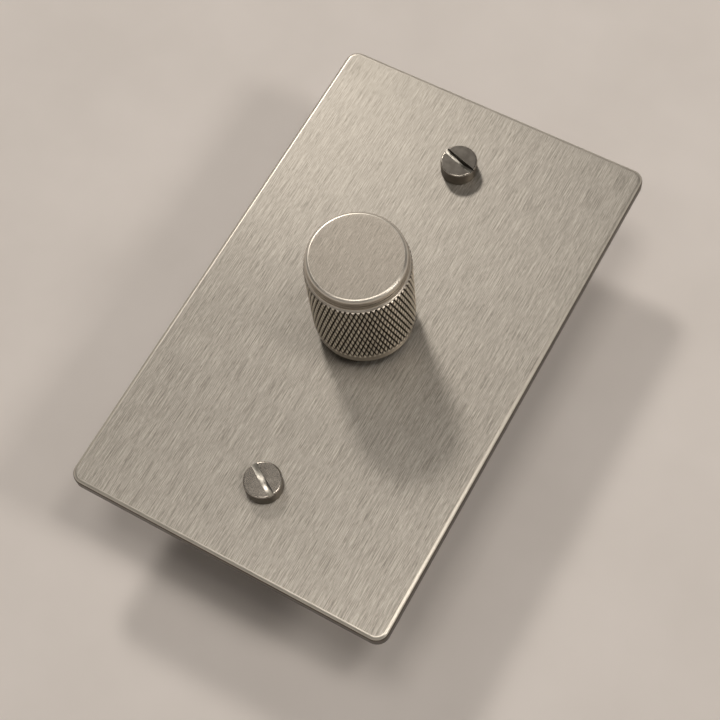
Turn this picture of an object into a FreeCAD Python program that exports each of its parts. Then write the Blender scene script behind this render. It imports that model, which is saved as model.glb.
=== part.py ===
"""Rotary dimmer switch: brushed metal face plate, knurled push-and-turn knob and the control module behind.

Frame: the origin is the centre of the face plate's rear face, which lies on the wall plane.
+Z runs along the knob's axis, out of the wall, and +Y runs up the plate. Lengths are in millimetres.
"""
import FreeCAD
import Part
import Sketcher
import math
import os
from types import SimpleNamespace

Vector = FreeCAD.Vector
Rotation = FreeCAD.Rotation

SIZES = {
    # Face plate
    "plate_width": 73.5,
    "plate_height": 118.0,
    "plate_thick": 3.0,
    "plate_corner_r": 2.8,
    "plate_edge_r": 0.6,
    # Fixing screws of the plate
    "screw_spacing": 83.3,
    "screw_shank_r": 1.75,
    "screw_neck_relief": 0.4,
    "screw_neck_drop": 0.2,
    "screw_tail": 16.0,
    "screw_hole_gap": 0.35,
    "screw_head_r": 4.0,
    "screw_head_high": 3.5,
    "screw_head_edge_r": 0.25,
    "slot_width": 1.5,
    "slot_deep": 1.8,
    "slot_saw_r": 6.0,
    "upper_slot_turn": -16.5,
    "lower_slot_turn": -32.0,
    # Mounting strap and its earth screw
    "strap_thick": 1.5,
    "strap_shoulder": 5.0,
    "ear_width": 22.0,
    "ear_reach": 10.75,
    "strap_gap": 1.0,
    "strap_slot_play": 1.5,
    "earth_tab_width": 7.0,
    "earth_tab_drop": 9.0,
    "earth_tab_inset": 4.0,
    "earth_screw_r": 1.6,
    "earth_screw_gap": 0.1,
    "earth_screw_tail": 2.5,
    "earth_head_r": 3.0,
    "earth_head_high": 2.0,
    # Threaded bush, washer and nut
    "bush_r": 5.0,
    "bush_hole_gap": 0.2,
    "bush_rise": 1.7,
    "flange_thick": 1.2,
    "washer_thick": 0.8,
    "washer_inset": 0.2,
    "nut_thick": 2.5,
    "nut_gap": 0.05,
    # Module case and cover
    "case_wall": 2.0,
    "case_corner_r": 1.5,
    "case_rear_gap": 1.4,
    "side_room": 10.5,
    "cover_thick": 2.0,
    "lip_deep": 1.5,
    "lip_thick": 1.2,
    "lip_gap": 0.1,
    "boss_deep": 2.5,
    "boss_wall": 2.8,
    "post_inset": 3.2,
    "post_r": 3.6,
    "cover_post_r": 2.8,
    "case_screw_r": 1.45,
    "case_screw_gap": 0.15,
    "case_screw_bite": 2.2,
    "case_head_r": 2.6,
    "case_head_high": 2.0,
    "case_head_sink": 1.0,
    "case_head_gap": 0.25,
    "pilot_gap": 0.05,
    "pilot_spare": 0.8,
    # Circuit board
    "board_thick": 1.6,
    "board_gap": 0.5,
    # Rotary control
    "shaft_r": 3.0,
    "shaft_gap": 0.05,
    "shaft_tail": 1.4,
    "shaft_end_gap": 1.0,
    "flat_deep": 1.5,
    "flat_lead": 0.5,
    "collar_over": 1.2,
    "collar_thick": 0.8,
    "collar_gap": 0.2,
    "rotor_r": 8.0,
    "rotor_gap": 0.06,
    "tube_wall": 1.44,
    "carrier_gap": 0.7,
    "carrier_web": 1.0,
    "recess_gap": 0.2,
    "recess_side": 0.4,
    "wiper_high": 0.65,
    "wiper_gap": 0.05,
    "wiper_width": 2.0,
    "wiper_margin": 0.5,
    "track_thick": 0.9,
    "track_gap": 1.0,
    "track_angle": 300.0,
    "control_floor": 1.0,
    "floor_hole_gap": 0.4,
    # Push switch under the control
    "push_travel": 1.5,
    "plunger_play": 0.1,
    "plunger_r": 5.0,
    "plunger_gap": 0.06,
    "plunger_roof": 1.0,
    "plunger_rim": 1.1,
    "pocket_deep": 1.2,
    "bridge_thick": 0.4,
    "bridge_inset": 0.2,
    "bridge_gap": 0.1,
    "contact_gap": 0.1,
    "contact_thick": 0.3,
    "contact_width": 2.0,
    "switch_wall": 2.4,
    "switch_floor": 1.0,
    "spring_wire_r": 0.25,
    "spring_side": 0.15,
    "spring_turns": 2.5,
    # Knob
    "knob_gap": 2.5,
    "knob_high": 26.0,
    "knurl_r": 10.8,
    "knurl_deep": 0.45,
    "knurl_count": 66.0,
    "knurl_rows": 12.0,
    "knurl_bite": 0.3,
    "rim_high": 2.4,
    "rim_step": 0.25,
    "foot_chamfer": 0.3,
    "crown_high": 3.5,
    "ledge_step": 0.2,
    "ledge_rise": 0.4,
    "ledge_high": 1.1,
    "ledge_run": 0.4,
    "groove_high": 0.4,
    "groove_deep": 0.3,
    "lip_edge_r": 0.6,
    "skirt_wall": 1.45,
    "cavity_side": 0.8,
    "cavity_gap": 3.5,
    "cap_thick": 5.0,
    "insert_wall": 2.5,
    "insert_gap": 0.03,
    # Heat sink, triac and its screw
    "sink_thick": 1.5,
    "sink_width": 28.0,
    "sink_floor_gap": 1.0,
    "triac_thick": 4.5,
    "triac_width": 10.2,
    "triac_side_gap": 1.0,
    "triac_lead_long": 3.4,
    "triac_body_high": 5.8,
    "triac_tab_thick": 1.3,
    "triac_tab_high": 5.6,
    "triac_lead_pitch": 2.54,
    "triac_lead_width": 0.8,
    "triac_lead_thick": 0.5,
    "triac_screw_r": 1.3,
    "triac_screw_gap": 0.15,
    "triac_screw_tail": 1.5,
    "triac_head_r": 2.4,
    "triac_head_high": 1.8,
    # Choke
    "choke_ring_r": 5.0,
    "choke_core_r": 2.0,
    "choke_wire_r": 0.35,
    "choke_wire_gap": 0.15,
    "choke_turns": 12.0,
    "choke_gap": 1.15,
    "choke_side": 2.65,
    # Film capacitor
    "capacitor_long": 13.0,
    "capacitor_wide": 6.0,
    "capacitor_tall": 10.0,
    "capacitor_gap": 4.15,
    # Fuse and its clips
    "fuse_r": 2.6,
    "fuse_cap_step": 0.15,
    "fuse_long": 20.0,
    "fuse_cap_long": 5.0,
    "fuse_stand": 1.0,
    "clip_wall": 0.6,
    "clip_gap": 0.05,
    # Timing resistors
    "resistor_r": 1.15,
    "resistor_long": 6.5,
    "resistor_gap": 1.2,
    "resistor_end_gap": 1.15,
    "resistor_stand": 0.8,
    "resistor_lead": 0.6,
    "resistor_apart": 3.3,
    # Terminal block
    "block_gap": 0.3,
    "block_side_gap": 0.5,
    "block_deep": 10.0,
    "block_cap": 3.0,
    "wire_width": 3.6,
    "wire_high": 5.0,
    "cage_wall": 0.7,
    "cage_long": 6.4,
    "cage_gap": 0.2,
    "terminal_screw_r": 1.4,
    "terminal_screw_gap": 0.05,
    "terminal_screw_tail": 2.0,
    "terminal_head_r": 1.9,
    "terminal_head_high": 2.0,
    "terminal_head_gap": 0.2,
    # How far a cutting solid runs past the face that it cuts
    "cut_over": 1.0,
}


class Dim:
    """A size held both as a number and as a formula over the sheet's cells."""

    def __init__(self, value, text):
        self.value = value
        self.text = text

    def _join(self, sign, other, value):
        return Dim(value, f"({self.text} {sign} {as_dim(other).text})")

    def __add__(self, other):
        return self._join("+", other, self.value + as_dim(other).value)

    def __radd__(self, other):
        return as_dim(other) + self

    def __sub__(self, other):
        return self._join("-", other, self.value - as_dim(other).value)

    def __rsub__(self, other):
        return as_dim(other) - self

    def __mul__(self, other):
        return self._join("*", other, self.value * as_dim(other).value)

    def __rmul__(self, other):
        return as_dim(other) * self

    def __truediv__(self, other):
        return self._join("/", other, self.value / as_dim(other).value)

    def __neg__(self):
        return Dim(-self.value, f"(0 - {self.text})")


def as_dim(value):
    """Return value as a Dim, so that plain numbers join formulas."""
    return value if isinstance(value, Dim) else Dim(value, repr(float(value)))


doc = FreeCAD.newDocument("dimmer")
sheet = doc.addObject("Spreadsheet::Sheet", "Sizes")
for row, (alias, number) in enumerate(SIZES.items(), start=1):
    sheet.set(f"A{row}", alias)
    sheet.set(f"B{row}", str(number))
    sheet.setAlias(f"B{row}", alias)
doc.recompute()

S = SimpleNamespace(**{alias: Dim(number, f"Sizes.{alias}") for alias, number in SIZES.items()})
nodes = []


def bind(obj, **properties):
    """Tie properties of an object to formulas over the sheet."""
    for name, dim in properties.items():
        obj.setExpression(name, as_dim(dim).text)
    return obj


def place(obj, x=0.0, y=0.0, z=0.0, rotation=None):
    """Set an object's turn, and tie its position to formulas."""
    if rotation is not None:
        obj.Placement = FreeCAD.Placement(Vector(), rotation)
    for axis, dim in zip("xyz", (x, y, z)):
        obj.setExpression(f"Placement.Base.{axis}", as_dim(dim).text)
    return obj


def box(name, x, y, z, length, width, height):
    """A box with its low corner at x, y, z."""
    obj = doc.addObject("Part::Box", name)
    bind(obj, Length=length, Width=width, Height=height)
    return place(obj, x, y, z)


def slab(name, x, y, z, length, width, height):
    """A box centred on x and y, with its lower face at z."""
    return box(name, x - as_dim(length) / 2, y - as_dim(width) / 2, z, length, width, height)


def cylinder(name, x, y, z, radius, height, rotation=None):
    """A cylinder that starts at x, y, z and runs along its own axis."""
    obj = doc.addObject("Part::Cylinder", name)
    bind(obj, Radius=radius, Height=height)
    return place(obj, x, y, z, rotation)


def fuse(name, *shapes):
    """Join several objects into one solid."""
    obj = doc.addObject("Part::MultiFuse", name)
    obj.Shapes = list(shapes)
    obj.Refine = True
    return obj


def cut(name, base, *tools):
    """Cut one or more objects out of a base."""
    obj = doc.addObject("Part::Cut", name)
    obj.Base = base
    obj.Tool = tools[0] if len(tools) == 1 else fuse(name + "_tools", *tools)
    return obj


def group(name, *shapes):
    """Keep several separate solids together in one node."""
    obj = doc.addObject("Part::Compound", name)
    obj.Links = list(shapes)
    return obj


def node(label, obj):
    """Name an object as a sub-part that is written to its own file."""
    obj.Label = label
    nodes.append(obj)
    return obj


def plane(body, role):
    """Find one of a body's own origin planes."""
    return next(item for item in body.Origin.OriginFeatures if item.Role == role)


def new_body(name):
    """Start a body for sketched features."""
    return doc.addObject("PartDesign::Body", name)


def new_sketch(body, name, role="XY_Plane"):
    """Start a sketch on one of a body's origin planes."""
    sketch = body.newObject("Sketcher::SketchObject", name)
    sketch.AttachmentSupport = [(plane(body, role), "")]
    sketch.MapMode = "FlatFace"
    return sketch


def limit(sketch, kind, *where, dim):
    """Add a dimension to a sketch and tie it to a formula."""
    index = sketch.addConstraint(Sketcher.Constraint(kind, *where, as_dim(dim).value))
    sketch.setExpression(f"Constraints[{index}]", as_dim(dim).text)


def sketch_rectangle(sketch, width, height):
    """Draw a rectangle centred on the sketch's origin."""
    half_x = as_dim(width).value / 2
    half_y = as_dim(height).value / 2
    corners = [Vector(-half_x, -half_y), Vector(half_x, -half_y), Vector(half_x, half_y), Vector(-half_x,
                                                                                                 half_y)]
    first = sketch.GeometryCount
    for index in range(4):
        sketch.addGeometry(Part.LineSegment(corners[index], corners[(index + 1) % 4]))
    for index in range(4):
        sketch.addConstraint(Sketcher.Constraint("Coincident", first + index, 2, first + (index + 1) % 4, 1))
    sketch.addConstraint(Sketcher.Constraint("Horizontal", first))
    sketch.addConstraint(Sketcher.Constraint("Horizontal", first + 2))
    sketch.addConstraint(Sketcher.Constraint("Vertical", first + 1))
    sketch.addConstraint(Sketcher.Constraint("Vertical", first + 3))
    sketch.addConstraint(Sketcher.Constraint("Symmetric", first, 1, first + 1, 2, -1, 1))
    limit(sketch, "DistanceX", first, 1, first, 2, dim=width)
    limit(sketch, "DistanceY", first + 1, 1, first + 1, 2, dim=height)


def sketch_circle(sketch, radius):
    """Draw a circle on the sketch's origin."""
    index = sketch.addGeometry(Part.Circle(Vector(), Vector(0, 0, 1), as_dim(radius).value))
    sketch.addConstraint(Sketcher.Constraint("Coincident", index, 3, -1, 1))
    limit(sketch, "Radius", index, dim=radius)


def sketch_circle_pair(sketch, radius, spacing):
    """Draw two equal circles, one above and one below the sketch's origin."""
    half = as_dim(spacing).value / 2
    value = as_dim(radius).value
    upper = sketch.addGeometry(Part.Circle(Vector(0, half, 0), Vector(0, 0, 1), value))
    lower = sketch.addGeometry(Part.Circle(Vector(0, -half, 0), Vector(0, 0, 1), value))
    sketch.addConstraint(Sketcher.Constraint("PointOnObject", upper, 3, -2))
    sketch.addConstraint(Sketcher.Constraint("Symmetric", upper, 3, lower, 3, -1, 1))
    sketch.addConstraint(Sketcher.Constraint("Equal", upper, lower))
    limit(sketch, "DistanceY", lower, 3, upper, 3, dim=spacing)
    limit(sketch, "Radius", upper, dim=radius)


def sketch_profile(sketch, points):
    """Draw a closed profile for turning, from radius and height pairs measured from the origin."""
    values = [Vector(as_dim(radius).value, as_dim(height).value, 0) for radius, height in points]
    count = len(values)
    for index in range(count):
        sketch.addGeometry(Part.LineSegment(values[index], values[(index + 1) % count]))
    for index in range(count):
        sketch.addConstraint(Sketcher.Constraint("Coincident", index, 2, (index + 1) % count, 1))
    for index, (radius, height) in enumerate(points):
        limit(sketch, "DistanceX", -1, 1, index, 1, dim=radius)
        limit(sketch, "DistanceY", -1, 1, index, 1, dim=height)


def pad(body, sketch, length):
    """Raise a sketch along its normal."""
    feature = body.newObject("PartDesign::Pad", sketch.Name + "_pad")
    feature.Profile = sketch
    return bind(feature, Length=length)


def pocket(body, sketch, depth):
    """Cut a sketch upwards from the plane that it lies on."""
    feature = body.newObject("PartDesign::Pocket", sketch.Name + "_pocket")
    feature.Profile = sketch
    feature.Reversed = True
    return bind(feature, Length=depth)


def fillet(body, base, name, radius, chosen):
    """Round the edges of a feature that a test chooses."""
    doc.recompute()
    names = [f"Edge{index}" for index, edge in enumerate(base.Shape.Edges, start=1) if chosen(edge)]
    feature = body.newObject("PartDesign::Fillet", name)
    feature.Base = (base, names)
    return bind(feature, Radius=radius)


def upright(edge):
    """True for a straight edge that runs along Z."""
    first = edge.Vertexes[0].Point
    last = edge.Vertexes[-1].Point
    return abs(first.x - last.x) < 1e-6 and abs(first.y - last.y) < 1e-6 and abs(first.z - last.z) > 1e-6


def at_height(height):
    """Make a test for the edges that lie wholly at one height."""
    return lambda edge: abs(edge.BoundBox.ZMin - height) < 1e-6 and abs(edge.BoundBox.ZMax - height) < 1e-6


def rounded_box(name, length, width, z, height, radius):
    """A box centred on the axis with rounded upright edges."""
    body = new_body(name)
    sketch = new_sketch(body, name + "_outline")
    sketch_rectangle(sketch, length, width)
    base = pad(body, sketch, height)
    fillet(body, base, name + "_corners", radius, upright)
    return place(body, z=z)


# Heights along the axis, from the knob's top down to the back of the case.
plate_front = S.plate_thick
washer_top = plate_front + S.washer_thick
nut_top = washer_top + S.nut_thick
bush_top = nut_top + S.bush_rise
knob_foot = plate_front + S.knob_gap
knob_top = knob_foot + S.knob_high
knob_roof = bush_top + S.push_travel + S.cavity_gap
insert_top = knob_top - S.cap_thick
shaft_top = insert_top - S.shaft_end_gap
knurl_bottom = knob_foot + S.rim_high
knurl_top = knob_top - S.crown_high
cover_back = -S.cover_thick
board_front = cover_back - S.boss_deep
board_back = board_front - S.board_thick
flange_back = board_back - S.flange_thick
collar_top = flange_back - S.collar_gap
collar_back = collar_top - S.collar_thick
carrier_top = flange_back - S.carrier_gap
recess_floor = collar_back - S.push_travel - S.recess_gap
carrier_back = recess_floor - S.carrier_web
wiper_back = carrier_back - S.wiper_high
track_top = wiper_back - S.wiper_gap
track_back = track_top - S.track_thick
control_back = track_back - S.control_floor
shaft_back = control_back - S.shaft_tail
plunger_top = shaft_back - S.plunger_play
pocket_roof = plunger_top - S.plunger_roof
plunger_back = pocket_roof - S.pocket_deep
bridge_back = plunger_back - S.bridge_thick
contact_top = bridge_back - S.push_travel - S.contact_gap
switch_seat = contact_top - S.contact_thick
switch_back = switch_seat - S.switch_floor
case_floor = switch_back - S.case_rear_gap
case_back = case_floor - S.case_wall

# Radii and plan sizes that pieces share.
bush_hole_r = S.bush_r + S.bush_hole_gap
tube_bore_r = S.rotor_r + S.rotor_gap
tube_r = tube_bore_r + S.tube_wall
shaft_bore_r = S.shaft_r + S.shaft_gap
flat_x = S.shaft_r - S.flat_deep
collar_r = S.shaft_r + S.collar_over
knurl_root_r = S.knurl_r - S.knurl_deep
cavity_r = knurl_root_r - S.skirt_wall
nut_corner_r = cavity_r - S.cavity_side
insert_r = S.shaft_r + S.insert_wall
choke_loop_r = S.choke_core_r + S.choke_wire_gap + S.choke_wire_r
choke_reach = S.choke_ring_r + choke_loop_r + S.choke_wire_r
choke_y = tube_r + S.choke_gap + choke_reach
resistor_y = choke_y + choke_reach + S.resistor_gap + S.resistor_r
room_x = tube_r + S.side_room
room_y = resistor_y + S.resistor_r + S.resistor_end_gap
case_width = 2 * (room_x + S.case_wall)
case_height = 2 * (room_y + S.case_wall)
strap_width = case_width
post_x = room_x - S.post_inset
post_y = room_y - S.post_inset
posts = [(sign_x * post_x, sign_y * post_y) for sign_x in (-1, 1) for sign_y in (-1, 1)]
screw_y = S.screw_spacing / 2
along_x = Rotation(Vector(0, 1, 0), 90)
along_y = Rotation(Vector(1, 0, 0), -90)


def make_face_plate():
    """A rounded rectangle with a soft front edge, a rear seat for the strap and three holes."""
    body = new_body("face_plate")
    outline = new_sketch(body, "plate_outline")
    sketch_rectangle(outline, S.plate_width, S.plate_height)
    blank = pad(body, outline, S.plate_thick)
    corners = fillet(body, blank, "plate_corners", S.plate_corner_r, upright)
    fillet(body, corners, "plate_front_edge", S.plate_edge_r, at_height(SIZES["plate_thick"]))
    seat = new_sketch(body, "strap_seat")
    sketch_rectangle(seat, strap_width + 2 * S.strap_gap, S.screw_spacing + 2 * (S.ear_reach + S.strap_gap))
    pocket(body, seat, S.strap_thick)
    holes = new_sketch(body, "plate_holes")
    sketch_circle(holes, bush_hole_r)
    sketch_circle_pair(holes, S.screw_shank_r + S.screw_hole_gap, S.screw_spacing)
    pocket(body, holes, S.plate_thick + S.cut_over)
    node("face_plate", body)


def make_plate_screw(name, sign, turn):
    """One cheese-head screw: head, relieved neck and threaded shank, with a slot deepest at its middle."""
    head_top = plate_front + S.screw_head_high
    body = new_body(name + "_turned")
    section = new_sketch(body, name + "_section", "XZ_Plane")
    base = S.screw_tail
    points = [
        (0, 0),
        (S.screw_shank_r, 0),
        (S.screw_shank_r, base - S.screw_neck_drop),
        (S.screw_shank_r - S.screw_neck_relief, base - S.screw_neck_drop),
        (S.screw_shank_r - S.screw_neck_relief, base + plate_front),
        (S.screw_head_r, base + plate_front),
        (S.screw_head_r, base + head_top),
        (0, base + head_top),
    ]
    sketch_profile(section, points)
    turned = body.newObject("PartDesign::Revolution", name + "_turn")
    turned.Profile = section
    turned.ReferenceAxis = (section, ["V_Axis"])
    turned.Angle = 360.0
    rim = at_height((base + head_top).value)
    fillet(body, turned, name + "_rim", S.screw_head_edge_r, rim)
    place(body, y=sign * screw_y, z=-S.screw_tail)
    saw = cylinder(name + "_saw", 0, 0, 0, S.slot_saw_r, S.slot_width)
    across = Rotation(Vector(0, 0, 1), turn.value) * Rotation(Vector(1, 0, 0), 90)
    saw.Placement = FreeCAD.Placement(Vector(), across)
    radians = math.radians(turn.value)
    side = S.slot_width / 2
    place(saw, -side * math.sin(radians), sign * screw_y + side * math.cos(radians),
          head_top - S.slot_deep + S.slot_saw_r)
    return cut(name, body, saw)


def make_plate_screws():
    """The two visible fixing screws."""
    upper = make_plate_screw("upper_screw", 1, S.upper_slot_turn)
    lower = make_plate_screw("lower_screw", -1, S.lower_slot_turn)
    node("plate_screws", group("plate_screw_pair", upper, lower))


def make_strap():
    """A flat strap with two slotted ears and a bent-down tab for the earth screw."""
    strap_half = case_height / 2 + S.strap_shoulder
    middle = slab("strap_middle", 0, 0, 0, strap_width, 2 * strap_half, S.strap_thick)
    ears = slab("strap_ears", 0, 0, 0, S.ear_width, S.screw_spacing + 2 * S.ear_reach, S.strap_thick)
    tab_x = strap_width / 2 - S.earth_tab_inset - S.earth_tab_width / 2
    tab_y = strap_half - S.strap_thick
    tab = box("earth_tab", tab_x - S.earth_tab_width / 2, tab_y, -S.earth_tab_drop, S.earth_tab_width,
              S.strap_thick, S.earth_tab_drop + S.strap_thick)
    whole = fuse("strap_blank", middle, ears, tab)
    over = S.cut_over
    tools = [cylinder("strap_bush_hole", 0, 0, -over, bush_hole_r, S.strap_thick + 2 * over)]
    hole_r = S.screw_shank_r + S.screw_hole_gap
    for name, sign in (("upper", 1), ("lower", -1)):
        for end, shift in (("low", -1), ("high", 1)):
            tools.append(cylinder(f"{name}_slot_{end}", 0, sign * screw_y + shift * S.strap_slot_play,
                                  -over, hole_r,
                                  S.strap_thick + 2 * over))
        tools.append(slab(f"{name}_slot_middle", 0, sign * screw_y, -over, 2 * hole_r, 2 * S.strap_slot_play,
                          S.strap_thick + 2 * over))
    earth_z = -S.earth_tab_drop / 2
    tools.append(cylinder("earth_hole", tab_x, tab_y - over, earth_z, S.earth_screw_r + S.earth_screw_gap,
                          S.strap_thick + 2 * over, along_y))
    node("mounting_strap", cut("strap_cut", whole, *tools))
    head = cylinder("earth_head", tab_x, tab_y + S.strap_thick, earth_z, S.earth_head_r, S.earth_head_high,
                    along_y)
    shank = cylinder("earth_shank", tab_x, tab_y - S.earth_screw_tail, earth_z, S.earth_screw_r,
                     S.earth_screw_tail + S.strap_thick + S.earth_head_high / 2, along_y)
    slot = slab("earth_slot", tab_x, tab_y + S.strap_thick + S.earth_head_high, earth_z - S.slot_width / 2,
                2 * (S.earth_head_r + over), S.earth_head_high, S.slot_width)
    node("earth_screw", cut("earth_screw_cut", fuse("earth_blank", head, shank), slot))


def make_bush():
    """The threaded bush that clamps the module, the strap and the plate, with its washer and hexagon nut."""
    barrel = cylinder("bush_barrel", 0, 0, board_back, S.bush_r, bush_top - board_back)
    flange = cylinder("bush_flange", 0, 0, flange_back, tube_r, S.flange_thick)
    bore = cylinder("bush_bore", 0, 0, flange_back - S.cut_over, shaft_bore_r,
                    bush_top - flange_back + 2 * S.cut_over)
    node("threaded_bush", cut("bush_cut", fuse("bush_blank", barrel, flange), bore))
    thread_r = S.bush_r + S.nut_gap
    disc = cylinder("washer_disc", 0, 0, plate_front, nut_corner_r - S.washer_inset, S.washer_thick)
    eye = cylinder("washer_eye", 0, 0, plate_front - S.cut_over, thread_r, S.washer_thick + 2 * S.cut_over)
    node("lock_washer", cut("washer_cut", disc, eye))
    prism = doc.addObject("Part::Prism", "nut_prism")
    prism.Polygon = 6
    bind(prism, Circumradius=nut_corner_r, Height=S.nut_thick)
    place(prism, z=washer_top)
    nut_bore = cylinder("nut_bore", 0, 0, washer_top - S.cut_over, thread_r, S.nut_thick + 2 * S.cut_over)
    node("bush_nut", cut("nut_cut", prism, nut_bore))


def make_cover():
    """The front of the module: a plate with a locating lip, a centre boss and four screw bosses."""
    front = rounded_box("cover_front", case_width, case_height, cover_back, S.cover_thick, S.case_corner_r)
    lip_x = room_x - S.lip_gap
    lip_y = room_y - S.lip_gap
    lip_z = cover_back - S.lip_deep
    lip_outer = slab("lip_outer", 0, 0, lip_z, 2 * lip_x, 2 * lip_y, S.lip_deep)
    lip_inner = slab("lip_inner", 0, 0, lip_z - S.cut_over, 2 * (lip_x - S.lip_thick),
                     2 * (lip_y - S.lip_thick),
                     S.lip_deep + S.cut_over)
    lip = cut("cover_lip", lip_outer, lip_inner)
    centre = cylinder("cover_boss", 0, 0, board_front, bush_hole_r + S.boss_wall, S.boss_deep)
    bosses = [cylinder(f"cover_post_{index}", x, y, board_front, S.cover_post_r, S.boss_deep)
              for index, (x, y) in enumerate(posts)]
    whole = fuse("cover_blank", front, lip, centre, *bosses)
    hole = cylinder("cover_bush_hole", 0, 0, board_front - S.cut_over, bush_hole_r,
                    S.cover_thick + S.boss_deep + 2 * S.cut_over)
    pilots = [cylinder(f"pilot_{index}", x, y, board_front - S.cut_over, S.case_screw_r + S.pilot_gap,
                       S.cut_over + S.case_screw_bite + S.pilot_spare) for index, (x, y) in enumerate(posts)]
    node("module_cover", cut("cover_cut", whole, hole, *pilots))


def pole_places():
    """Return the X position of each wire terminal and the width of the block."""
    width = 2 * (post_x - S.post_r - S.block_side_gap)
    return [number * width / 3 for number in (-1, 0, 1)], width


block_front_y = -(room_y - S.block_gap)
cage_back = case_floor + S.block_cap
cage_width = S.wire_width + 2 * S.cage_wall
cage_high = S.wire_high + 2 * S.cage_wall
cage_y = block_front_y + S.cage_gap
seat_z = case_back + S.case_head_sink + S.case_head_high


def make_case():
    """The moulded case: an open box with four screw posts, wire windows and screwdriver holes."""
    outer = rounded_box("case_outer", case_width, case_height, case_back, cover_back - case_back,
                        S.case_corner_r)
    inner = slab("case_room", 0, 0, case_floor, 2 * room_x, 2 * room_y, cover_back - case_floor + S.cut_over)
    shell = cut("case_shell", outer, inner)
    pillars = [cylinder(f"case_post_{index}", x, y, case_floor, S.post_r, board_back - case_floor)
               for index, (x, y) in enumerate(posts)]
    inside = slab("case_trim", 0, 0, case_back, case_width - S.case_wall, case_height - S.case_wall,
                  board_back - case_back)
    trimmed = doc.addObject("Part::Common", "case_pillars")
    trimmed.Base = fuse("case_post_set", *pillars)
    trimmed.Tool = inside
    whole = fuse("case_blank", shell, trimmed)
    tools = []
    for index, (x, y) in enumerate(posts):
        tools.append(cylinder(f"case_hole_{index}", x, y, case_back - S.cut_over,
                              S.case_screw_r + S.case_screw_gap,
                              board_back - case_back + 2 * S.cut_over))
        tools.append(cylinder(f"case_sink_{index}", x, y, case_back - S.cut_over,
                              S.case_head_r + S.case_head_gap,
                              seat_z - case_back + S.cut_over))
    for index, x in enumerate(pole_places()[0]):
        tools.append(slab(f"wire_window_{index}", x, -(room_y + S.case_wall / 2), cage_back + S.cage_wall,
                          S.wire_width,
                          S.case_wall + S.cut_over, S.wire_high))
        tools.append(cylinder(f"driver_hole_{index}", x, cage_y + S.cage_long / 2, case_back - S.cut_over,
                              S.terminal_head_r + S.terminal_head_gap, S.case_wall + 2 * S.cut_over))
    node("module_case", cut("case_cut", whole, *tools))
    screws = []
    for index, (x, y) in enumerate(posts):
        head = cylinder(f"case_head_{index}", x, y, seat_z - S.case_head_high, S.case_head_r,
                        S.case_head_high)
        shank = cylinder(f"case_shank_{index}", x, y, seat_z - S.case_head_high / 2, S.case_screw_r,
                         board_front + S.case_screw_bite - seat_z + S.case_head_high / 2)
        slot = slab(f"case_slot_{index}", x, y, seat_z - S.case_head_high - S.cut_over, S.slot_width,
                    2 * (S.case_head_r + S.cut_over), S.cut_over + S.case_head_high / 3)
        screws.append(cut(f"case_screw_{index}", fuse(f"case_screw_blank_{index}", head, shank), slot))
    node("case_screws", group("case_screw_set", *screws))


def make_board():
    """The circuit board, clamped between the cover's boss and the bush's flange."""
    board = slab("board_blank", 0, 0, board_back, 2 * (room_x - S.board_gap), 2 * (room_y - S.board_gap),
                 S.board_thick)
    tools = [cylinder("board_bush_hole", 0, 0, board_back - S.cut_over, bush_hole_r,
                      S.board_thick + 2 * S.cut_over)]
    for index, (x, y) in enumerate(posts):
        tools.append(cylinder(f"board_hole_{index}", x, y, board_back - S.cut_over,
                              S.case_screw_r + S.case_screw_gap,
                              S.board_thick + 2 * S.cut_over))
    node("circuit_board", cut("board_cut", board, *tools))


def make_control():
    """The fixed half of the rotary control: its cup and the resistive track on the cup's floor."""
    cup = cylinder("cup_blank", 0, 0, control_back, tube_r, flange_back - control_back)
    room = cylinder("cup_room", 0, 0, track_back, tube_bore_r, flange_back - track_back + S.cut_over)
    hole = cylinder("cup_hole", 0, 0, control_back - S.cut_over, S.shaft_r + S.floor_hole_gap,
                    S.control_floor + 2 * S.cut_over)
    node("control_housing", cut("cup_cut", cup, room, hole))
    ring = cylinder("track_ring", 0, 0, track_back, S.rotor_r, S.track_thick)
    bind(ring, Angle=S.track_angle)
    eye = cylinder("track_eye", 0, 0, track_back - S.cut_over, S.shaft_r + S.track_gap,
                   S.track_thick + 2 * S.cut_over)
    node("resistive_track", cut("track_cut", ring, eye))


def flat_cutter(name, x, z, height):
    """A block that leaves a flat at x on a shaft or in a bore."""
    return box(name, x, -2 * S.shaft_r, z, 2 * S.shaft_r, 4 * S.shaft_r, height)


def make_rotor():
    """The wiper carrier, which turns with the shaft's flat but lets the shaft slide, and its wiper."""
    disc = cylinder("carrier_disc", 0, 0, carrier_back, S.rotor_r, carrier_top - carrier_back)
    recess = cylinder("carrier_recess", 0, 0, recess_floor, collar_r + S.recess_side,
                      carrier_top - recess_floor + S.cut_over)
    round_bore = cylinder("carrier_bore", 0, 0, carrier_back - S.cut_over, shaft_bore_r,
                          carrier_top - carrier_back + 2 * S.cut_over)
    land = flat_cutter("carrier_land", flat_x + S.shaft_gap, carrier_back - 2 * S.cut_over,
                       carrier_top - carrier_back + 4 * S.cut_over)
    bore = cut("carrier_flat_bore", round_bore, land)
    node("wiper_carrier", cut("carrier_cut", disc, recess, bore))
    inside = S.shaft_r + S.track_gap + S.wiper_margin
    outside = S.rotor_r - S.wiper_margin
    node("wiper_contact", box("wiper", inside, -S.wiper_width / 2, wiper_back,
                              outside - inside - S.wiper_margin, S.wiper_width,
                              S.wiper_high))


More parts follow.
